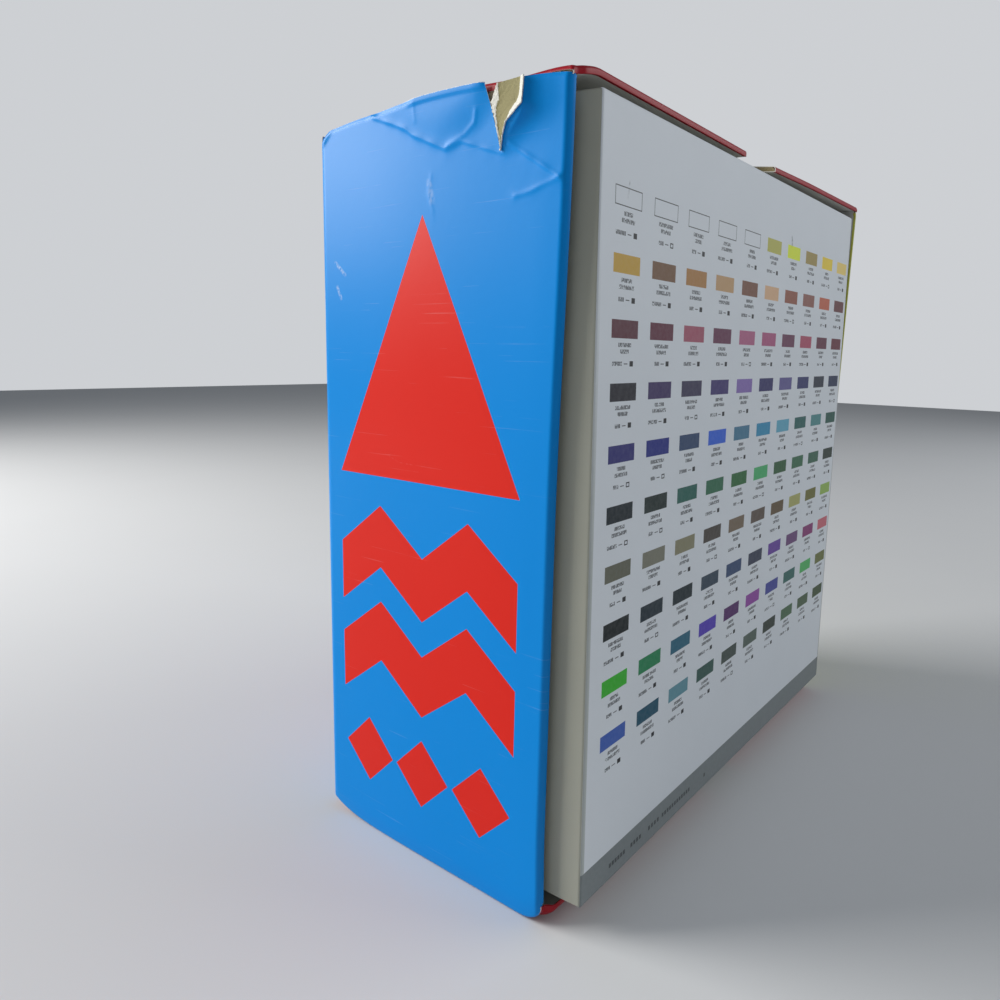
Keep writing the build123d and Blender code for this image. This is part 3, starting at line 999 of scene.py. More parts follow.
# Gummed tape round the four long corners of the board, under the print
stays = {"leg": 14.0, "inset": 0.58, "drop": 0.28, "radius": 1.0, "thickness": 0.12, "setBack": 4.0}


# strip of tape round a corner; its place gets how far a point is in from both walls, and its y
def tapeStrip(name, radius, insets, arcSteps, alongLines, middle, place):
    leg, arc = stays["leg"], radius * math.pi / 2
    lines = lineRuns((-leg, -arc / 2, 3.0), (-arc / 2, arc / 2, arc / arcSteps), (arc / 2, leg, 3.0))
    strip = addSheet(name, lines, alongLines)

    def roundCorner(flat):
        turn = min(1, max(0, flat.x / arc + 0.5)) * math.pi / 2
        before, after = max(0, -arc / 2 - flat.x), max(0, flat.x - arc / 2)
        first = insets[0] + radius - radius * math.cos(turn) + after
        second = insets[1] + radius - radius * math.sin(turn) + before
        return place(first, second, flat.y)

    moveVertices(strip, roundCorner)
    faceOutwards(strip, middle)
    solidify(strip, stays["thickness"])
    return strip


def lidStay(side, way):
    def place(inX, inZ, y):
        x = side * (lidHalf - inX)
        if way > 0:
            return pullRim((x, y, cornerZ - inZ + upperLift(x, y)))
        return pullRim((x, y, inZ - soleDrop(y)))

    strip = tapeStrip("stayStrip", stays["radius"], (stays["inset"], stays["drop"]), 5,
                      lineRuns((rimY + stays["setBack"], backY - stays["setBack"], 2.0)), lidMiddle, place)
    smoothBy(strip, 50)
    return strip


lidStays = joinPieces("lidCornerStays", [lidStay(side, way) for side in (-1, 1) for way in (-1, 1)])
finishLid(lidStays, "stay_tape", ["lid_corner_stays"], stayTape)
print("lid board, lining and corner tape made")


# Torn ply in the tear: bare board side of the paper, between white ragged edges
tornPly = {
    "left": [(-20.7, 236.6), (-19.8, 234.4), (-18.9, 232.2), (-19.5, 229.9), (-20.6, 226.4),
             (-21.6, 223.0), (-22.4, 219.8)],
    "right": [(-30.1, 236.8), (-29.9, 233.6), (-29.6, 230.5), (-26.9, 228.6), (-24.4, 226.7),
              (-23.3, 223.2), (-22.6, 219.6)],
    "whiteLeft": [(0, 0.3), (0.15, 1.2), (0.3, 2.4), (0.45, 1.3), (0.6, 0.5), (1, 0.3)],
    "whiteRight": [(0, 1.1), (0.25, 1.3), (0.36, 2.2), (0.5, 1.5), (0.65, 0.5), (1, 0.3)],
    "thickness": 0.3, "seed": 7, "draws": 200,
}


# point of a line at this share of its stretches
def onLine(line, share):
    spot = share * (len(line) - 1)
    index = min(int(spot), len(line) - 2)
    return blend(line[index], line[index + 1], spot - index)


# value at this share, from pairs of share and value
def valueAt(pairs, share):
    for a, b in zip(pairs, pairs[1:]):
        if share <= b[0]:
            return a[1] + (b[1] - a[1]) * (share - a[0]) / (b[0] - a[0])
    return pairs[-1][1]


def tornPiece():
    sheet = addSheet("tornPly", lineRuns((0, 1, 1 / 30)), lineRuns((0, 1, 1 / 60)))
    rough = random.Random(tornPly["seed"])
    ragged = [rough.uniform(-1, 1) for _ in range(tornPly["draws"])]
    white = []

    def place(flat):
        share, down = flat.x, flat.y
        left, right = onLine(tornPly["left"], down), onLine(tornPly["right"], down)
        y, z = blend(left, right, share)
        y += 0.22 * ragged[int(down * 40)] * smoothStep(0.35, 0, share)
        width = abs(right[0] - left[0])
        fromLeft = share * width - valueAt(tornPly["whiteLeft"], down)
        fromRight = (1 - share) * width - valueAt(tornPly["whiteRight"], down)
        white.append(smoothStep(0.5, -0.3, min(fromLeft, fromRight)))
        free = flapLift(right[0] - 0.4, z) * share ** 2
        out = 0.5 + 0.25 * white[-1] + 0.1 * ragged[int(share * 50) + int(down * 60)]
        out += 0.45 * smoothStep(0.8, 1, share)
        return -lidHalf - out - free, y - flap["sideways"] * free, z - flap["down"] * free

    moveVertices(sheet, place)
    storeWear(sheet, white)
    faceOutwards(sheet, Vector((0, 0, 228)))
    solidify(sheet, tornPly["thickness"])
    smoothBy(sheet, 60)
    return sheet


def tornMaterial():
    material, tree, shader, place = newMaterial("tornPlySide")
    out = useGroup(tree, paperTooth, Place=place, Colour=(0.3, 0.27, 0.13, 1), Tint=0.5, Fibre=0.25)
    white = useGroup(tree, paperTooth, Place=place, Colour=(0.8, 0.79, 0.72, 1), Tint=0.3, Fibre=0.2)
    wear = addNode(tree, "ShaderNodeAttribute", attribute_name="wear").outputs["Fac"]
    grit = noise(tree, place, 900.0, 4.0)
    mask = ramp(tree, plus(tree, wear, times(tree, minus(tree, grit, 0.5), 0.9)), 0.45, 5.0)
    values = {"Base Color": mixColours(tree, mask, out["Colour"], white["Colour"]), "Roughness": 0.9}
    finishShader(tree, shader, values, plus(tree, out["Height"], grit), 0.8, 0.0002)
    return material


finishLid(tornPiece(), "grey_board", [], tornMaterial())
print("tear made")


# The base leans a little inside the lid, so its pieces are built square and then turned.
# Its left wall leans in over its last stretch to the chart, from least at its foot to most at the top.
baseLean = {"yaw": 1.3, "pitch": 1.2, "leftWall": 0.95, "leftWallTop": 0.8}


def baseFrame():
    yaw, pitch = math.radians(baseLean["yaw"]), math.radians(baseLean["pitch"])
    right = Vector((math.cos(yaw), math.sin(yaw), 0))
    out = Vector((math.sin(yaw) * math.cos(pitch), -math.cos(yaw) * math.cos(pitch), math.sin(pitch)))
    turn = Matrix((right, out.cross(right), out)).transposed()
    nodes = [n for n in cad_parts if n.startswith("base_")]
    spots = [turn.transposed() @ v.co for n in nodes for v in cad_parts[n].data.vertices]
    low = Vector([min(s[i] for s in spots) for i in range(3)]) / mm
    high = Vector([max(s[i] for s in spots) for i in range(3)]) / mm
    return turn, low, high


baseTurn, baseLow, baseHigh = baseFrame()
chartMiddle = Vector(((baseLow.x + baseHigh.x) / 2, (baseLow.y + baseHigh.y) / 2, baseHigh.z))
halfLength = (baseHigh.x - baseLow.x) / 2
halfHeight = (baseHigh.y - baseLow.y) / 2
baseDepth = baseHigh.z - baseLow.z
print("base measures", round(2 * halfLength, 1), round(2 * halfHeight, 1), round(baseDepth, 1))


# from chart coordinates (right, up, out of the chart) to the row frame
def toRow(piece):
    def place(s):
        lean = (baseLean["leftWall"] + baseLean["leftWallTop"] * s.y / halfHeight) * smoothStep(-7.5, 1, s.z)
        lean *= smoothStep(-halfLength + 7, -halfLength + 1, s.x)
        return baseTurn @ (s + Vector((lean, 0, 0)) + chartMiddle)

    moveVertices(piece, place)


# Colour chart: a sheet whose grid lines follow its printing, folded round the edges of the base
chart = {
    "left": -104.8, "top": 92.3, "pitchX": 22.25, "pitchY": 17.24, "width": 14.9, "height": 5.0,
    "outline": 0.28, "nameRows": ((1.2, 1.15), (3.0, 1.15)), "codeRow": (6.3, 1.15), "dashRow": (6.8, 0.28),
    "halfWidths": (2.4, 3.0, 3.7, 4.4), "codeLeft": (-6.8, -4.2, -1.2), "dashes": (-0.2, 1.9),
    "square": (3.1, 3.5, 4.7, 5.1), "squareRow": (6.15, 0.35, 0.8), "bandTop": -103.2, "fold": 0.9,
    "bandMarks": ((-97.3, -86.8), (-83.6, -76.0), (-71.5, -63.0), (-61.5, -38.7), (-27.0, -24.6)),
    "bandMarkHeight": 1.5, "bandMarkMiddle": -108.8, "bandMarkStep": 1.9, "bandMarkWidth": 1.3,
    "paper": (0.66, 0.7, 0.74), "foldShade": (0.42, 0.45, 0.44), "foldShadeWidth": 1.6,
    "ink": (0.05, 0.055, 0.06), "squareInk": (0.012, 0.013, 0.015), "bandInk": (0.19, 0.215, 0.22),
    "thickness": 0.18, "overhang": 0.1, "planSize": 250.0,
}
# Colour families of the ten rows, as hue, saturation and value at the row's start, middle and end
families = [
    ((0.24, 0.40, 0.80), (0.18, 0.70, 0.84), (0.12, 0.66, 0.84)),
    ((0.10, 0.64, 0.58), (0.07, 0.42, 0.66), (0.01, 0.60, 0.56)),
    ((0.96, 0.58, 0.38), (0.91, 0.46, 0.62), (0.96, 0.62, 0.42)),
    ((0.70, 0.45, 0.20), (0.71, 0.50, 0.58), (0.60, 0.48, 0.24)),
    ((0.66, 0.74, 0.38), (0.56, 0.66, 0.74), (0.47, 0.58, 0.34)),
    ((0.53, 0.70, 0.12), (0.37, 0.64, 0.54), (0.43, 0.50, 0.26)),
    ((0.20, 0.12, 0.50), (0.06, 0.26, 0.34), (0.22, 0.68, 0.62)),
    ((0.52, 0.60, 0.10), (0.60, 0.48, 0.40), (0.96, 0.64, 0.60)),
    ((0.30, 0.80, 0.54), (0.87, 0.60, 0.54), (0.20, 0.56, 0.52)),
    ((0.61, 0.82, 0.60), (0.40, 0.10, 0.30), (0.28, 0.42, 0.38)),
]


# colour of a swatch from its row's family, with a lively but fixed step from one to the next
def chartColour(column, row):
    start, middle, end = families[row]
    share = column / 9
    near = (start, middle, share * 2) if share < 0.5 else (middle, end, share * 2 - 1)
    hue, saturation, value = blend(*near)
    wave = math.sin(2.4 * column + 1.7 * row)
    value = min(0.9, max(0.1, value * (1 + 0.3 * wave)))
    saturation = min(0.95, max(0.05, saturation * (1 + 0.22 * math.cos(3.1 * column + row))))
    red, green, blue = colorsys.hsv_to_rgb((hue + 0.02 * wave) % 1, saturation, value)
    return red ** 2.2, green ** 2.2, blue ** 2.2


# where the marks of the chart's lower band start
def bandStarts():
    return [start for mark in chart["bandMarks"] for start in lineRuns((*mark, chart["bandMarkStep"]))[:-1]]


# grid lines of the chart, across and up, from the edges of everything printed on it
def chartLines():
    across, up = [], []
    for column in range(10):
        left = chart["left"] + column * chart["pitchX"]
        middle = left + chart["width"] / 2
        right = left + chart["width"]
        across += [left, left + chart["outline"], right - chart["outline"], right]
        across += [middle + way * half for half in chart["halfWidths"] for way in (-1, 1)]
        across += [middle + d for d in chart["codeLeft"] + chart["dashes"] + chart["square"]]
    for row in range(10):
        top = chart["top"] - row * chart["pitchY"]
        bottom = top - chart["height"]
        up += [top, top - chart["outline"], bottom + chart["outline"], bottom]
        for drop, size in chart["nameRows"] + (chart["codeRow"], chart["dashRow"]):
            up += [bottom - drop, bottom - drop - size]
        drop, edge, inside = chart["squareRow"]
        up += [bottom - drop - d for d in (0, edge, edge + inside, 2 * edge + inside)]
    up.append(chart["bandTop"])
    up += [chart["bandMarkMiddle"] + way * chart["bandMarkHeight"] / 2 for way in (-1, 1)]
    for start in bandStarts():
        across += [start, start + chart["bandMarkWidth"]]
    across += [way * (halfLength - chart["foldShadeWidth"]) for way in (-1, 1)]
    fold = chart["fold"]
    for lines, half in ((across, halfLength), (up, halfHeight)):
        for way in (-1, 1):
            lines += [way * (half - fold + fold * math.pi / 2 * i / 5) for i in range(4)]
    clean = []
    for lines in (across, up):
        lines = sorted(lines)
        clean.append([lines[0]] + [b for a, b in zip(lines, lines[1:]) if b - a > 0.02])
    return clean


# what is printed at this place, and the painted shade along the folded edges: a colour, or None where the
# paper is bare, and 1.0 if it is lettering
def chartInkAndShade(x, y):
    ink, bare = chart["ink"], (None, 0.0)
    if y < chart["bandTop"]:
        inMark = any(start < x < start + chart["bandMarkWidth"] for start in bandStarts())
        inMark = inMark and abs(y - chart["bandMarkMiddle"]) < chart["bandMarkHeight"] / 2
        return ink if inMark else chart["bandInk"], 0.0
    # painted shade: a darker strip along the chart's left and right edges where it folds round the base,
    # strongest towards the foot
    if abs(x) > halfLength - chart["foldShadeWidth"]:
        share = smoothStep(0.8 * halfHeight, -0.2 * halfHeight, y)
        return blend(chart["paper"], chart["foldShade"], share), 0.0
    column = int((x - chart["left"] + 3.5) // chart["pitchX"])
    row = int((chart["top"] - y) // chart["pitchY"])
    if not (0 <= column < 10 and 0 <= row < 10):
        return bare
    inX = x - chart["left"] - column * chart["pitchX"]
    inY = chart["top"] - row * chart["pitchY"] - y
    if 0 < inX < chart["width"] and 0 < inY < chart["height"]:
        if row or column > 4:
            return chartColour(column, row), 0.0
        margin = min(inX, chart["width"] - inX, inY, chart["height"] - inY)
        return (ink, 0.0) if margin < chart["outline"] else bare
    offset = inX - chart["width"] / 2
    under = inY - chart["height"]
    for line, (drop, size) in enumerate(chart["nameRows"]):
        if drop < under < drop + size:
            choice = (column * 3 + row * 5 + line * 2 + column * row) % len(chart["halfWidths"])
            return (ink, 1.0) if abs(offset) < chart["halfWidths"][choice] else bare
    drop, size = chart["codeRow"]
    first = chart["codeLeft"][0 if (column * 7 + row * 3) % 5 < 2 else 1]
    if drop < under < drop + size and first < offset < chart["codeLeft"][2]:
        return ink, 1.0
    drop, size = chart["dashRow"]
    if drop < under < drop + size and chart["dashes"][0] < offset < chart["dashes"][1]:
        return ink, 0.0
    drop, edge, inside = chart["squareRow"]
    left, innerLeft, innerRight, right = chart["square"]
    if drop < under < drop + 2 * edge + inside and left < offset < right:
        hollow = (column + 2 * row) % 7 == 1 or (column < 2 and row in (4, 5))
        middle = drop + edge < under < drop + edge + inside and innerLeft < offset < innerRight
        return bare if hollow and middle else (chart["squareInk"], 0.0)
    return bare


def chartSheet():
    sheet = addSheet("chartSheet", *chartLines())
    mesh = sheet.data
    ink = mesh.color_attributes.new("ink", "FLOAT_COLOR", "CORNER")
    text = mesh.attributes.new("text", "FLOAT", "FACE")
    plan = mesh.uv_layers.new(name="plan")
    colours, flags = [0.0] * (4 * len(mesh.loops)), [0.0] * len(mesh.polygons)
    places = [0.0] * (2 * len(mesh.loops))
    for face in mesh.polygons:
        colour, flags[face.index] = chartInkAndShade(face.center.x / mm, face.center.y / mm)
        value = (0.0, 0.0, 0.0, 0.0) if colour is None else tuple(colour) + (1.0,)
        for loop in face.loop_indices:
            colours[4 * loop:4 * loop + 4] = value
            spot = mesh.vertices[mesh.loops[loop].vertex_index].co / mm
            places[2 * loop:2 * loop + 2] = [part / chart["planSize"] + 0.5 for part in (spot.x, spot.y)]
    ink.data.foreach_set("color", colours)
    text.data.foreach_set("value", flags)
    plan.data.foreach_set("uv", places)

    def place(flat):
        x, inX = overEdge(flat.x, halfLength + chart["overhang"], chart["fold"])
        y, inY = overEdge(flat.y, halfHeight + chart["overhang"], chart["fold"])
        wave = 0.25 * math.sin(flat.x * 0.028 + 0.5) * math.sin(flat.y * 0.022)
        wave *= smoothStep(0, 25, min(halfLength - abs(flat.x), halfHeight - abs(flat.y)))
        return x, y, -inX - inY - 0.02 + min(0, wave)

    moveVertices(sheet, place)
    toRow(sheet)
    faceOutwards(sheet, Vector((0, 0, cornerZ / 2)))
    solidify(sheet, chart["thickness"], material_offset_rim=1)
    smoothBy(sheet, 50)
    return sheet


# Small dark scuffs on the chart, as (from, to, width)
chartScuffs = [((-97.2, 94.4), (-98.0, 89.2), 0.5), ((32.4, 96.2), (33.6, 91.4), 1.1)]
# Lettering is broken into blocks by gaps at a fixed pitch, and by cells of the plan left out at random
lettering = {"pitch": 0.78, "share": 0.76, "cells": (780.0, 640.0, 0), "leftOut": 0.16}


# matt print: inks from the sheet's own colours, which also carry the painted shade at its folded edges,
# lettering kept to rows of small plain blocks
def chartMaterial():
    material, tree, shader, place = newMaterial("chartPrint")
    paper = useGroup(tree, paperTooth, Place=place, Colour=chart["paper"] + (1,), Tint=0.05, Fibre=0.015)
    ink = addNode(tree, "ShaderNodeVertexColor", layer_name="ink")
    text = addNode(tree, "ShaderNodeAttribute", attribute_name="text").outputs["Fac"]
    plan = addNode(tree, "ShaderNodeUVMap", uv_map="plan").outputs[0]
    across = times(tree, addNode(tree, "ShaderNodeSeparateXYZ", {0: plan}).outputs["X"], chart["planSize"])
    block = calc(tree, "FRACT", calc(tree, "DIVIDE", across, lettering["pitch"]))
    gap = isAbove(tree, block, lettering["share"])
    cells = vectorCalc(tree, "FLOOR", vectorCalc(tree, "MULTIPLY", plan, lettering["cells"]))
    chance = addNode(tree, "ShaderNodeTexWhiteNoise", {"Vector": cells}, noise_dimensions="2D")
    gap = calc(tree, "MAXIMUM", gap, isBelow(tree, chance.outputs["Value"], lettering["leftOut"]))
    amount = times(tree, ink.outputs["Alpha"], minus(tree, 1.0, times(tree, gap, text)))
    speckle = calc(tree, "MULTIPLY_ADD", noise(tree, place, 700.0, 3.0), 0.1, 0.93)
    amount = times(tree, amount, speckle, clamp=True)
    colour = mixColours(tree, amount, paper["Colour"], ink.outputs["Color"])
    for begin, finish, width in chartScuffs:
        ends = [(baseTurn @ (Vector(spot + (0,)) + chartMiddle)) * mm for spot in (begin, finish)]
        mask = useGroup(tree, rubStroke, Place=place, Start=ends[0], End=ends[1], Width=width * mm)["Mask"]
        colour = mixColours(tree, times(tree, mask, 0.8), colour, (0.06, 0.065, 0.07, 1))
    values = {"Base Color": colour, "Roughness": 0.5, "Specular IOR Level": 0.3}
    finishShader(tree, shader, values, paper["Height"], 0.15, 0.00004)
    return material


finishPiece(chartSheet(), "base", "chart_print", ["base_chart"], chartMaterial(), shadedWhitePaper)


# White paper round the four walls of the base, with a margin under the chart, and its board
basePaper = {"thickness": 0.2, "cornerRadius": 0.8, "margin": 2.2, "top": -0.24, "bend": 0.85}
baseBoard = {"thickness": 1.0, "inset": 0.22, "top": -0.3, "bend": 0.7}


def basePaperSkin():
    skin = addBlock("basePaper", (-halfLength, -halfHeight, -baseDepth),
                    (halfLength, halfHeight, basePaper["top"]))
    deleteFaces(skin, lambda centre, normal: abs(normal.z) > 0.9, "ONLY_FACE")
    pickEdges(skin, lambda p, q: abs(p.z - q.z) > 1)
    bpy.ops.mesh.bevel(offset=basePaper["cornerRadius"] * mm, segments=4, affect="EDGES")
    pickEdges(skin, lambda p, q: p.z > -0.3 and q.z > -0.3)
    bpy.ops.mesh.extrude_edges_move(TRANSFORM_OT_translate={"value": (0, 0, 0)})
    reach = [1 - basePaper["margin"] / half for half in (halfLength, halfHeight)]
    bpy.ops.transform.resize(value=(*reach, 1), center_override=(0, 0, 0))
    objectMode()
    bevelSharp(skin, basePaper["bend"], 5)
    for depth in [-1.8, -2.8, -3.8, -4.8, -6.0, -7.5] + [-baseDepth * cut / 8 for cut in range(1, 8)]:
        bisectAll(skin, (0, 0, depth), (0, 0, 1))
    toRow(skin)
    faceOutwards(skin, baseTurn @ (chartMiddle - Vector((0, 0, baseDepth / 2))))
    solidify(skin, basePaper["thickness"], material_offset_rim=1)
    smoothBy(skin, 40)
    return skin


finishPiece(basePaperSkin(), "base", "white_paper",
            ["base_upper_wrap", "base_lower_wrap", "base_left_wrap", "base_right_wrap"],
            shadedWhitePaper, paperCore)


def baseBoardShell():
    inset = baseBoard["inset"]
    shell = addBlock("baseBoard", (-halfLength + inset, -halfHeight + inset, -baseDepth),
                     (halfLength - inset, halfHeight - inset, baseBoard["top"]))
    deleteFaces(shell, lambda centre, normal: normal.z < -0.9)
    faceOutwards(shell, Vector((0, 0, -baseDepth / 2)))
    bevelSharp(shell, baseBoard["bend"], 3)
    solidify(shell, baseBoard["thickness"], use_even_offset=True)
    toRow(shell)
    smoothBy(shell, 40)
    return shell


finishPiece(baseBoardShell(), "base", "white_board",
            ["base_bottom_board", "base_upper_board", "base_lower_board", "base_left_board",
             "base_right_board"],
            whiteBoard)


# Gummed tape round the corners of the base's board, under its paper
def baseStay(wayX, wayY):
    def place(inX, inY, depth):
        return wayX * (halfLength - inX), wayY * (halfHeight - inY), depth

    strip = tapeStrip("baseStayStrip", basePaper["cornerRadius"], (0.3, 0.3), 4,
                      lineRuns((-baseDepth + 2, -9, 6.0), (-9, -2, 1.0)),
                      Vector((0, 0, -baseDepth / 2)), place)
    toRow(strip)
    smoothBy(strip, 50)
    return strip


baseStays = joinPieces("baseCornerStays", [baseStay(wayX, wayY) for wayX in (-1, 1) for wayY in (-1, 1)])
finishPiece(baseStays, "base", "stay_tape", ["base_corner_stays"], stayTape)
print("base made")


# Insert trays: one folded card tray with a rib between its two rows
tray = {"card": 0.8, "edge": 0.22}


def trayShell(number):
    low, high = [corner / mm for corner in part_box(f"tray_{number}_floor")]
    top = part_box(f"tray_{number}_strips")[1].y / mm
    middle = (low.z + high.z) / 2
    card = tray["card"]
    shell = addBlock(f"tray{number}Card", low, (high.x, top, high.z))
    for x in (low.x + card, high.x - card):
        bisectAll(shell, (x, 0, 0), (1, 0, 0))
    for z in (low.z + card, high.z - card, middle - card / 2, middle + card / 2):
        bisectAll(shell, (0, 0, z), (0, 0, 1))
    pickFaces(shell, lambda centre, normal: normal.y > 0.9 and abs(centre.x) < high.x - card
              and low.z + card < centre.z < high.z - card and abs(centre.z - middle) > card)
    bpy.ops.mesh.extrude_region_move(TRANSFORM_OT_translate={"value": (0, (low.y + card - top) * mm, 0)})
    objectMode()
    tidyNormals(shell)
    bevelSharp(shell, tray["edge"], 2)
    smoothBy(shell, 40)
    return shell


# One paint tube, tail down on the XY plane: crimped tail, body, shoulder and threaded neck
tube = {"sides": 24, "radius": 8.0, "tailHalf": 12.5, "tailThick": 0.58, "crimp": 0.14, "fold": 6.0,
        "body": 86.0, "straight": 28.0, "shoulder": 3.5, "neckRadius": 3.95, "neck": 7.0, "thread": 0.35,
        "length": 104.7, "perRow": 10, "ends": 25.1}
cap = {"sides": 48, "radius": 6.55, "tip": 5.65, "height": 15.0, "bore": 4.08, "start": 89.7, "rib": 0.3}


# rings of the tube from its tail up, as (height, half width, half thickness)
def tubeRings():
    radius, neck, body = tube["radius"], tube["neckRadius"], tube["body"]
    rings = []
    for step in range(5):
        crimp = tube["tailThick"] - (tube["crimp"] if step % 2 else 0)
        rings.append((step * tube["fold"] / 4, tube["tailHalf"], crimp))
    taperTop = body - tube["straight"]
    for step in range(1, 8):
        share = step / 7
        half = tube["tailHalf"] + (radius - tube["tailHalf"]) * share ** 1.5
        thick = tube["tailThick"] + (radius - tube["tailThick"]) * math.sin(share * math.pi / 2)
        rings.append((tube["fold"] + (taperTop - tube["fold"]) * share, half, thick))
    neckStart = body + tube["shoulder"]
    rounds = [(body - 0.8, radius), (body - 0.2, radius - 0.25), (body + 0.3, radius - 0.9),
              (neckStart - 0.6, neck + 0.7), (neckStart, neck)]
    rounds += [(neckStart + tube["neck"] * step / 6, neck - tube["thread"] * (step % 2))
               for step in range(1, 7)]
    return rings + [(height, size, size) for height, size in rounds]


# Known fault: Blender is in face select mode here, which skips the extrusion of an open ring. The ring
# only moves up, so all that comes out is the tube's mouth, without tail, body, shoulder or neck.
def tubeMaster():
    rings = tubeRings()
    deselectAll()
    bpy.ops.mesh.primitive_circle_add(vertices=tube["sides"], radius=mm, fill_type="NOTHING")
    master = bpy.context.object
    editAll(master)
    bpy.ops.transform.resize(value=(rings[0][1], rings[0][2], 1), center_override=(0, 0, 0))
    for before, after in zip(rings, rings[1:]):
        rise = (after[0] - before[0]) * mm
        bpy.ops.mesh.extrude_region_move(TRANSFORM_OT_translate={"value": (0, 0, rise)})
        bpy.ops.transform.resize(value=(after[1] / before[1], after[2] / before[2], 1),
                                 center_override=(0, 0, after[0] * mm))
    bpy.ops.mesh.edge_face_add()
    bpy.ops.mesh.inset(thickness=1.2 * mm)
    bpy.ops.transform.translate(value=(0, 0, -0.8 * mm))
    pickEdges(master, lambda p, q: p.z < 0.01 and q.z < 0.01)
    bpy.ops.mesh.edge_face_add()
    objectMode()
    tidyNormals(master)
    smoothBy(master, 45)
    layer = master.data.uv_layers.new(name="wrap")
    for loop in master.data.loops:
        spot = master.data.vertices[loop.vertex_index].co / mm
        around = math.atan2(spot.y / tube["radius"], spot.x / tube["tailHalf"]) / (2 * math.pi) + 0.5
        layer.data[loop.index].uv = (around, spot.z / tube["length"])
    return master


def capMaster():
    radius, start, height = cap["radius"], cap["start"], cap["height"]
    deselectAll()
    bpy.ops.mesh.primitive_cylinder_add(vertices=cap["sides"], radius=radius * mm, depth=height * mm,
                                        location=(0, 0, (start + height / 2) * mm))
    master = bpy.context.object
    bpy.ops.object.transform_apply(location=True, rotation=True, scale=True)
    pickFaces(master, lambda centre, normal: normal.z > 0.9)
    bpy.ops.transform.resize(value=(cap["tip"] / radius, cap["tip"] / radius, 1),
                             center_override=(0, 0, (start + height) * mm))
    bpy.ops.mesh.inset(thickness=0.5 * mm)
    objectMode()

    def rib(spot):
        count = round(math.atan2(spot.y, spot.x) / (2 * math.pi) * cap["sides"])
        size = math.hypot(spot.x, spot.y)
        shrink = (size - cap["rib"]) / size if count % 2 and size > cap["tip"] - 0.1 else 1
        return spot.x * shrink, spot.y * shrink, spot.z

    moveVertices(master, rib)
    pickFaces(master, lambda centre, normal: normal.z > 0.9 and math.hypot(centre.x, centre.y) < 1)
    bpy.ops.mesh.inset(thickness=0.5 * mm)
    bpy.ops.transform.translate(value=(0, 0, -0.35 * mm))
    pickFaces(master, lambda centre, normal: normal.z < -0.9)
    bpy.ops.mesh.inset(thickness=(radius - cap["rib"] - cap["bore"]) * mm)
    bpy.ops.mesh.extrude_region_move(TRANSFORM_OT_translate={"value": (0, 0, (tube["neck"] + 0.1) * mm)})
    objectMode()
    tidyNormals(master)
    smoothBy(master, 35)
    return master


# place and turn of the twenty tubes of a tray, heads up and heads down by turns
def tubePlaces(number):
    low, high = [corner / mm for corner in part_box(f"tray_{number}_tubes")]
    pitch = (high.x - low.x - tube["ends"]) / (tube["perRow"] - 1)
    places = []
    for startZ in (low.z, high.z - tube["length"]):
        for column in range(tube["perRow"]):
            x = (column - (tube["perRow"] - 1) / 2) * pitch
            headUp = column % 2 == 0
            z = startZ if headUp else startZ + tube["length"]
            turn = Matrix.Rotation(0 if headUp else math.pi, 4, "Y")
            places.append(Matrix.Translation(Vector((x, (low.y + high.y) / 2, z)) * mm) @ turn)
    return places


def placedCopies(name, master, places, colours=None):
    copies = []
    for index, place in enumerate(places):
        copy = master.copy()
        copy.data = master.data.copy()
        bpy.context.scene.collection.objects.link(copy)
        copy.data.transform(place)
        if colours:
            paint = copy.data.color_attributes.new("paint", "FLOAT_COLOR", "CORNER")
            paint.data.foreach_set("color", list(colours[index] + (1.0,)) * len(copy.data.loops))
        copies.append(copy)
    return joinPieces(name, copies)


# white laminate with a band in the colour of the paint and rows of small plain blocks
def tubeMaterial():
    material, tree, shader, place = newMaterial("tubePlastic")
    wrap = addNode(tree, "ShaderNodeUVMap", uv_map="wrap").outputs[0]
    split = addNode(tree, "ShaderNodeSeparateXYZ", {0: wrap})
    around, up = split.outputs["X"], split.outputs["Y"]
    paint = addNode(tree, "ShaderNodeVertexColor", layer_name="paint").outputs["Color"]
    ink = (0.05, 0.05, 0.055, 1)

    def inRange(value, low, high):
        return times(tree, isAbove(tree, value, low), isBelow(tree, value, high))

    def repeat(value, count):
        return calc(tree, "FRACT", times(tree, value, count))

    colour = mixColours(tree, inRange(up, 0.16, 0.5), (0.8, 0.8, 0.78, 1), paint)
    words = times(tree, inRange(repeat(around, 2.0), 0.3, 0.7), inRange(repeat(up, 40.0), 0.3, 0.62))
    words = times(tree, words, isBelow(tree, repeat(around, 70.0), 0.7))
    words = times(tree, words, inRange(up, 0.55, 0.7))
    colour = mixColours(tree, times(tree, words, 0.85), colour, ink)
    colour = mixColours(tree, inRange(up, 0.515, 0.525), colour, ink)
    marks = useGroup(tree, filmMarks, Place=place, Colour=colour, Wear=0.0, Hairlines=0.2)
    values = {"Base Color": marks["Colour"], "Roughness": marks["Roughness"]}
    finishShader(tree, shader, values, marks["Height"], 0.1, 0.00015)
    return material


def capMaterial():
    material, tree, shader, place = newMaterial("capPlastic")
    shade = noise(tree, place, 90.0, 2.0)
    values = {"Base Color": mixColours(tree, shade, (0.022, 0.022, 0.025, 1), (0.045, 0.045, 0.05, 1)),
              "Roughness": calc(tree, "MULTIPLY_ADD", shade, 0.2, 0.36)}
    finishShader(tree, shader, values, noise(tree, place, 2200.0, 3.0), 0.2, 0.00008)
    return material


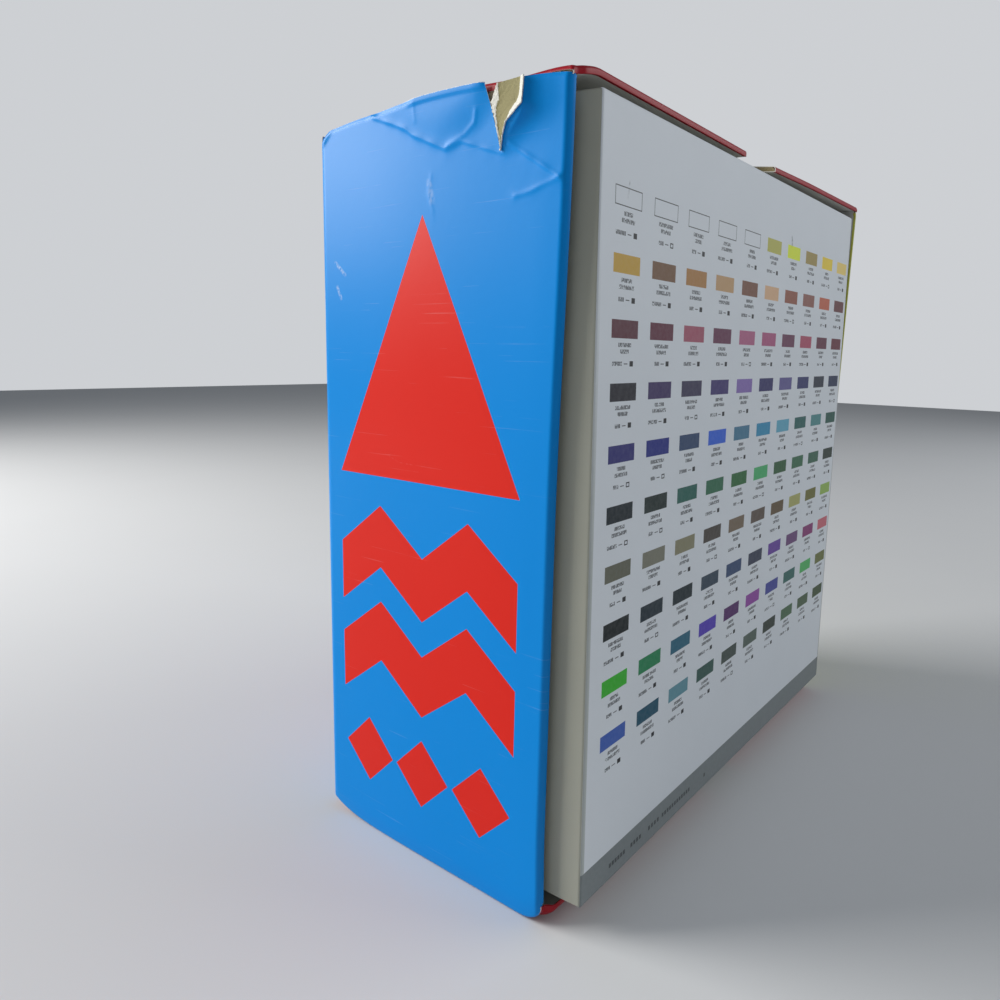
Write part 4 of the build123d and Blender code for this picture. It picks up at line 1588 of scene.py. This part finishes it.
tubePlastic, capPlastic = tubeMaterial(), capMaterial()
masterTube, masterCap = tubeMaster(), capMaster()
for number in range(1, 6):
    body = f"tray_{number}"
    finishPiece(trayShell(number), body, "tray_card", [f"{body}_floor", f"{body}_strips"], trayCard)
    places = tubePlaces(number)
    colours = [chartColour(i % 10, (number - 1) * 2 + i // 10) for i in range(20)]
    finishPiece(placedCopies(f"tray{number}Tubes", masterTube, places, colours), body, "tube_plastic",
                [f"{body}_tubes"], tubePlastic)
    if number == 5:
        finishPiece(placedCopies("turningCap", masterCap, places[:1]), "cap", "cap_plastic",
                    ["turning_cap"], capPlastic)
        places = places[1:]
    finishPiece(placedCopies(f"tray{number}Caps", masterCap, places), body, "cap_plastic",
                [f"{body}_caps"], capPlastic)
for master in (masterTube, masterCap):
    bpy.data.objects.remove(master, do_unlink=True)
print("trays, tubes and caps made")


# Floor, light and camera; their places are in metres
stage = {"floor": (0.66, 0.67, 0.68), "shade": 0.97, "size": 6.0, "level": -0.05}
deselectAll()
bpy.ops.mesh.primitive_plane_add(size=stage["size"], location=(0, 0, stage["level"] * mm))
floor = bpy.context.object
floor.name = "paleFloor"
floorMaterial, floorTree, floorShader, floorPlace = newMaterial("paleFloor")
darker = tuple(part * stage["shade"] for part in stage["floor"])
floorColour = mixColours(floorTree, noise(floorTree, floorPlace, 6.0, 3.0),
                         stage["floor"] + (1,), darker + (1,))
fill(floorTree, floorShader, {"Base Color": floorColour, "Roughness": 1.0, "Specular IOR Level": 0.0})
dress(floor, floorMaterial)

lights = {
    "window": {"place": (-0.78, 1.1, 0.75), "size": 0.8, "power": 25.0, "colour": (1.0, 0.98, 0.95)},
    "fill": {"place": (1.3, -1.3, 0.95), "size": 1.4, "power": 17.0, "colour": (0.96, 0.98, 1.0)},
}
for name, light in lights.items():
    data = bpy.data.lights.new(name, "AREA")
    data.size, data.energy, data.color = light["size"], light["power"], light["colour"]
    lamp = bpy.data.objects.new(name, data)
    bpy.context.scene.collection.objects.link(lamp)
    lamp.location = light["place"]
    lamp.rotation_euler = (Vector((0, 0, 0.1)) - Vector(light["place"])).to_track_quat("-Z", "Y").to_euler()

# The camera sees a paler room than the one that lights the box
world = bpy.data.worlds.new("room")
bpy.context.scene.world = world
world.use_nodes = True
room = world.node_tree
lit = room.nodes["Background"]
fill(room, lit.inputs, {"Color": (0.86, 0.92, 1.0, 1), "Strength": 0.22})
seen = addNode(room, "ShaderNodeBackground", {"Color": (0.72, 0.74, 0.77, 1), "Strength": 0.85})
path = addNode(room, "ShaderNodeLightPath")
both = addNode(room, "ShaderNodeMixShader", {0: path.outputs["Is Camera Ray"], 1: lit.outputs[0],
                                             2: seen.outputs[0]})
fill(room, room.nodes["World Output"].inputs, {0: both.outputs[0]})

camera = {"place": (-0.28806, -0.16503, 0.17133), "azimuth": 50.48, "down": 10.71, "roll": 1.2,
          "lens": 28.13}
deselectAll()
bpy.ops.object.camera_add(location=camera["place"])
view = bpy.context.object
turn = Matrix.Rotation(math.radians(-camera["azimuth"]), 4, "Z")
turn = turn @ Matrix.Rotation(math.radians(90 - camera["down"]), 4, "X")
turn = turn @ Matrix.Rotation(math.radians(camera["roll"]), 4, "Z")
view.rotation_euler = turn.to_euler()
view.data.lens = camera["lens"]
view.data.sensor_width = 36
view.data.clip_start = 0.01
bpy.context.scene.camera = view
bpy.context.scene.view_settings.view_transform = "Standard"
print("stage, light and camera set")
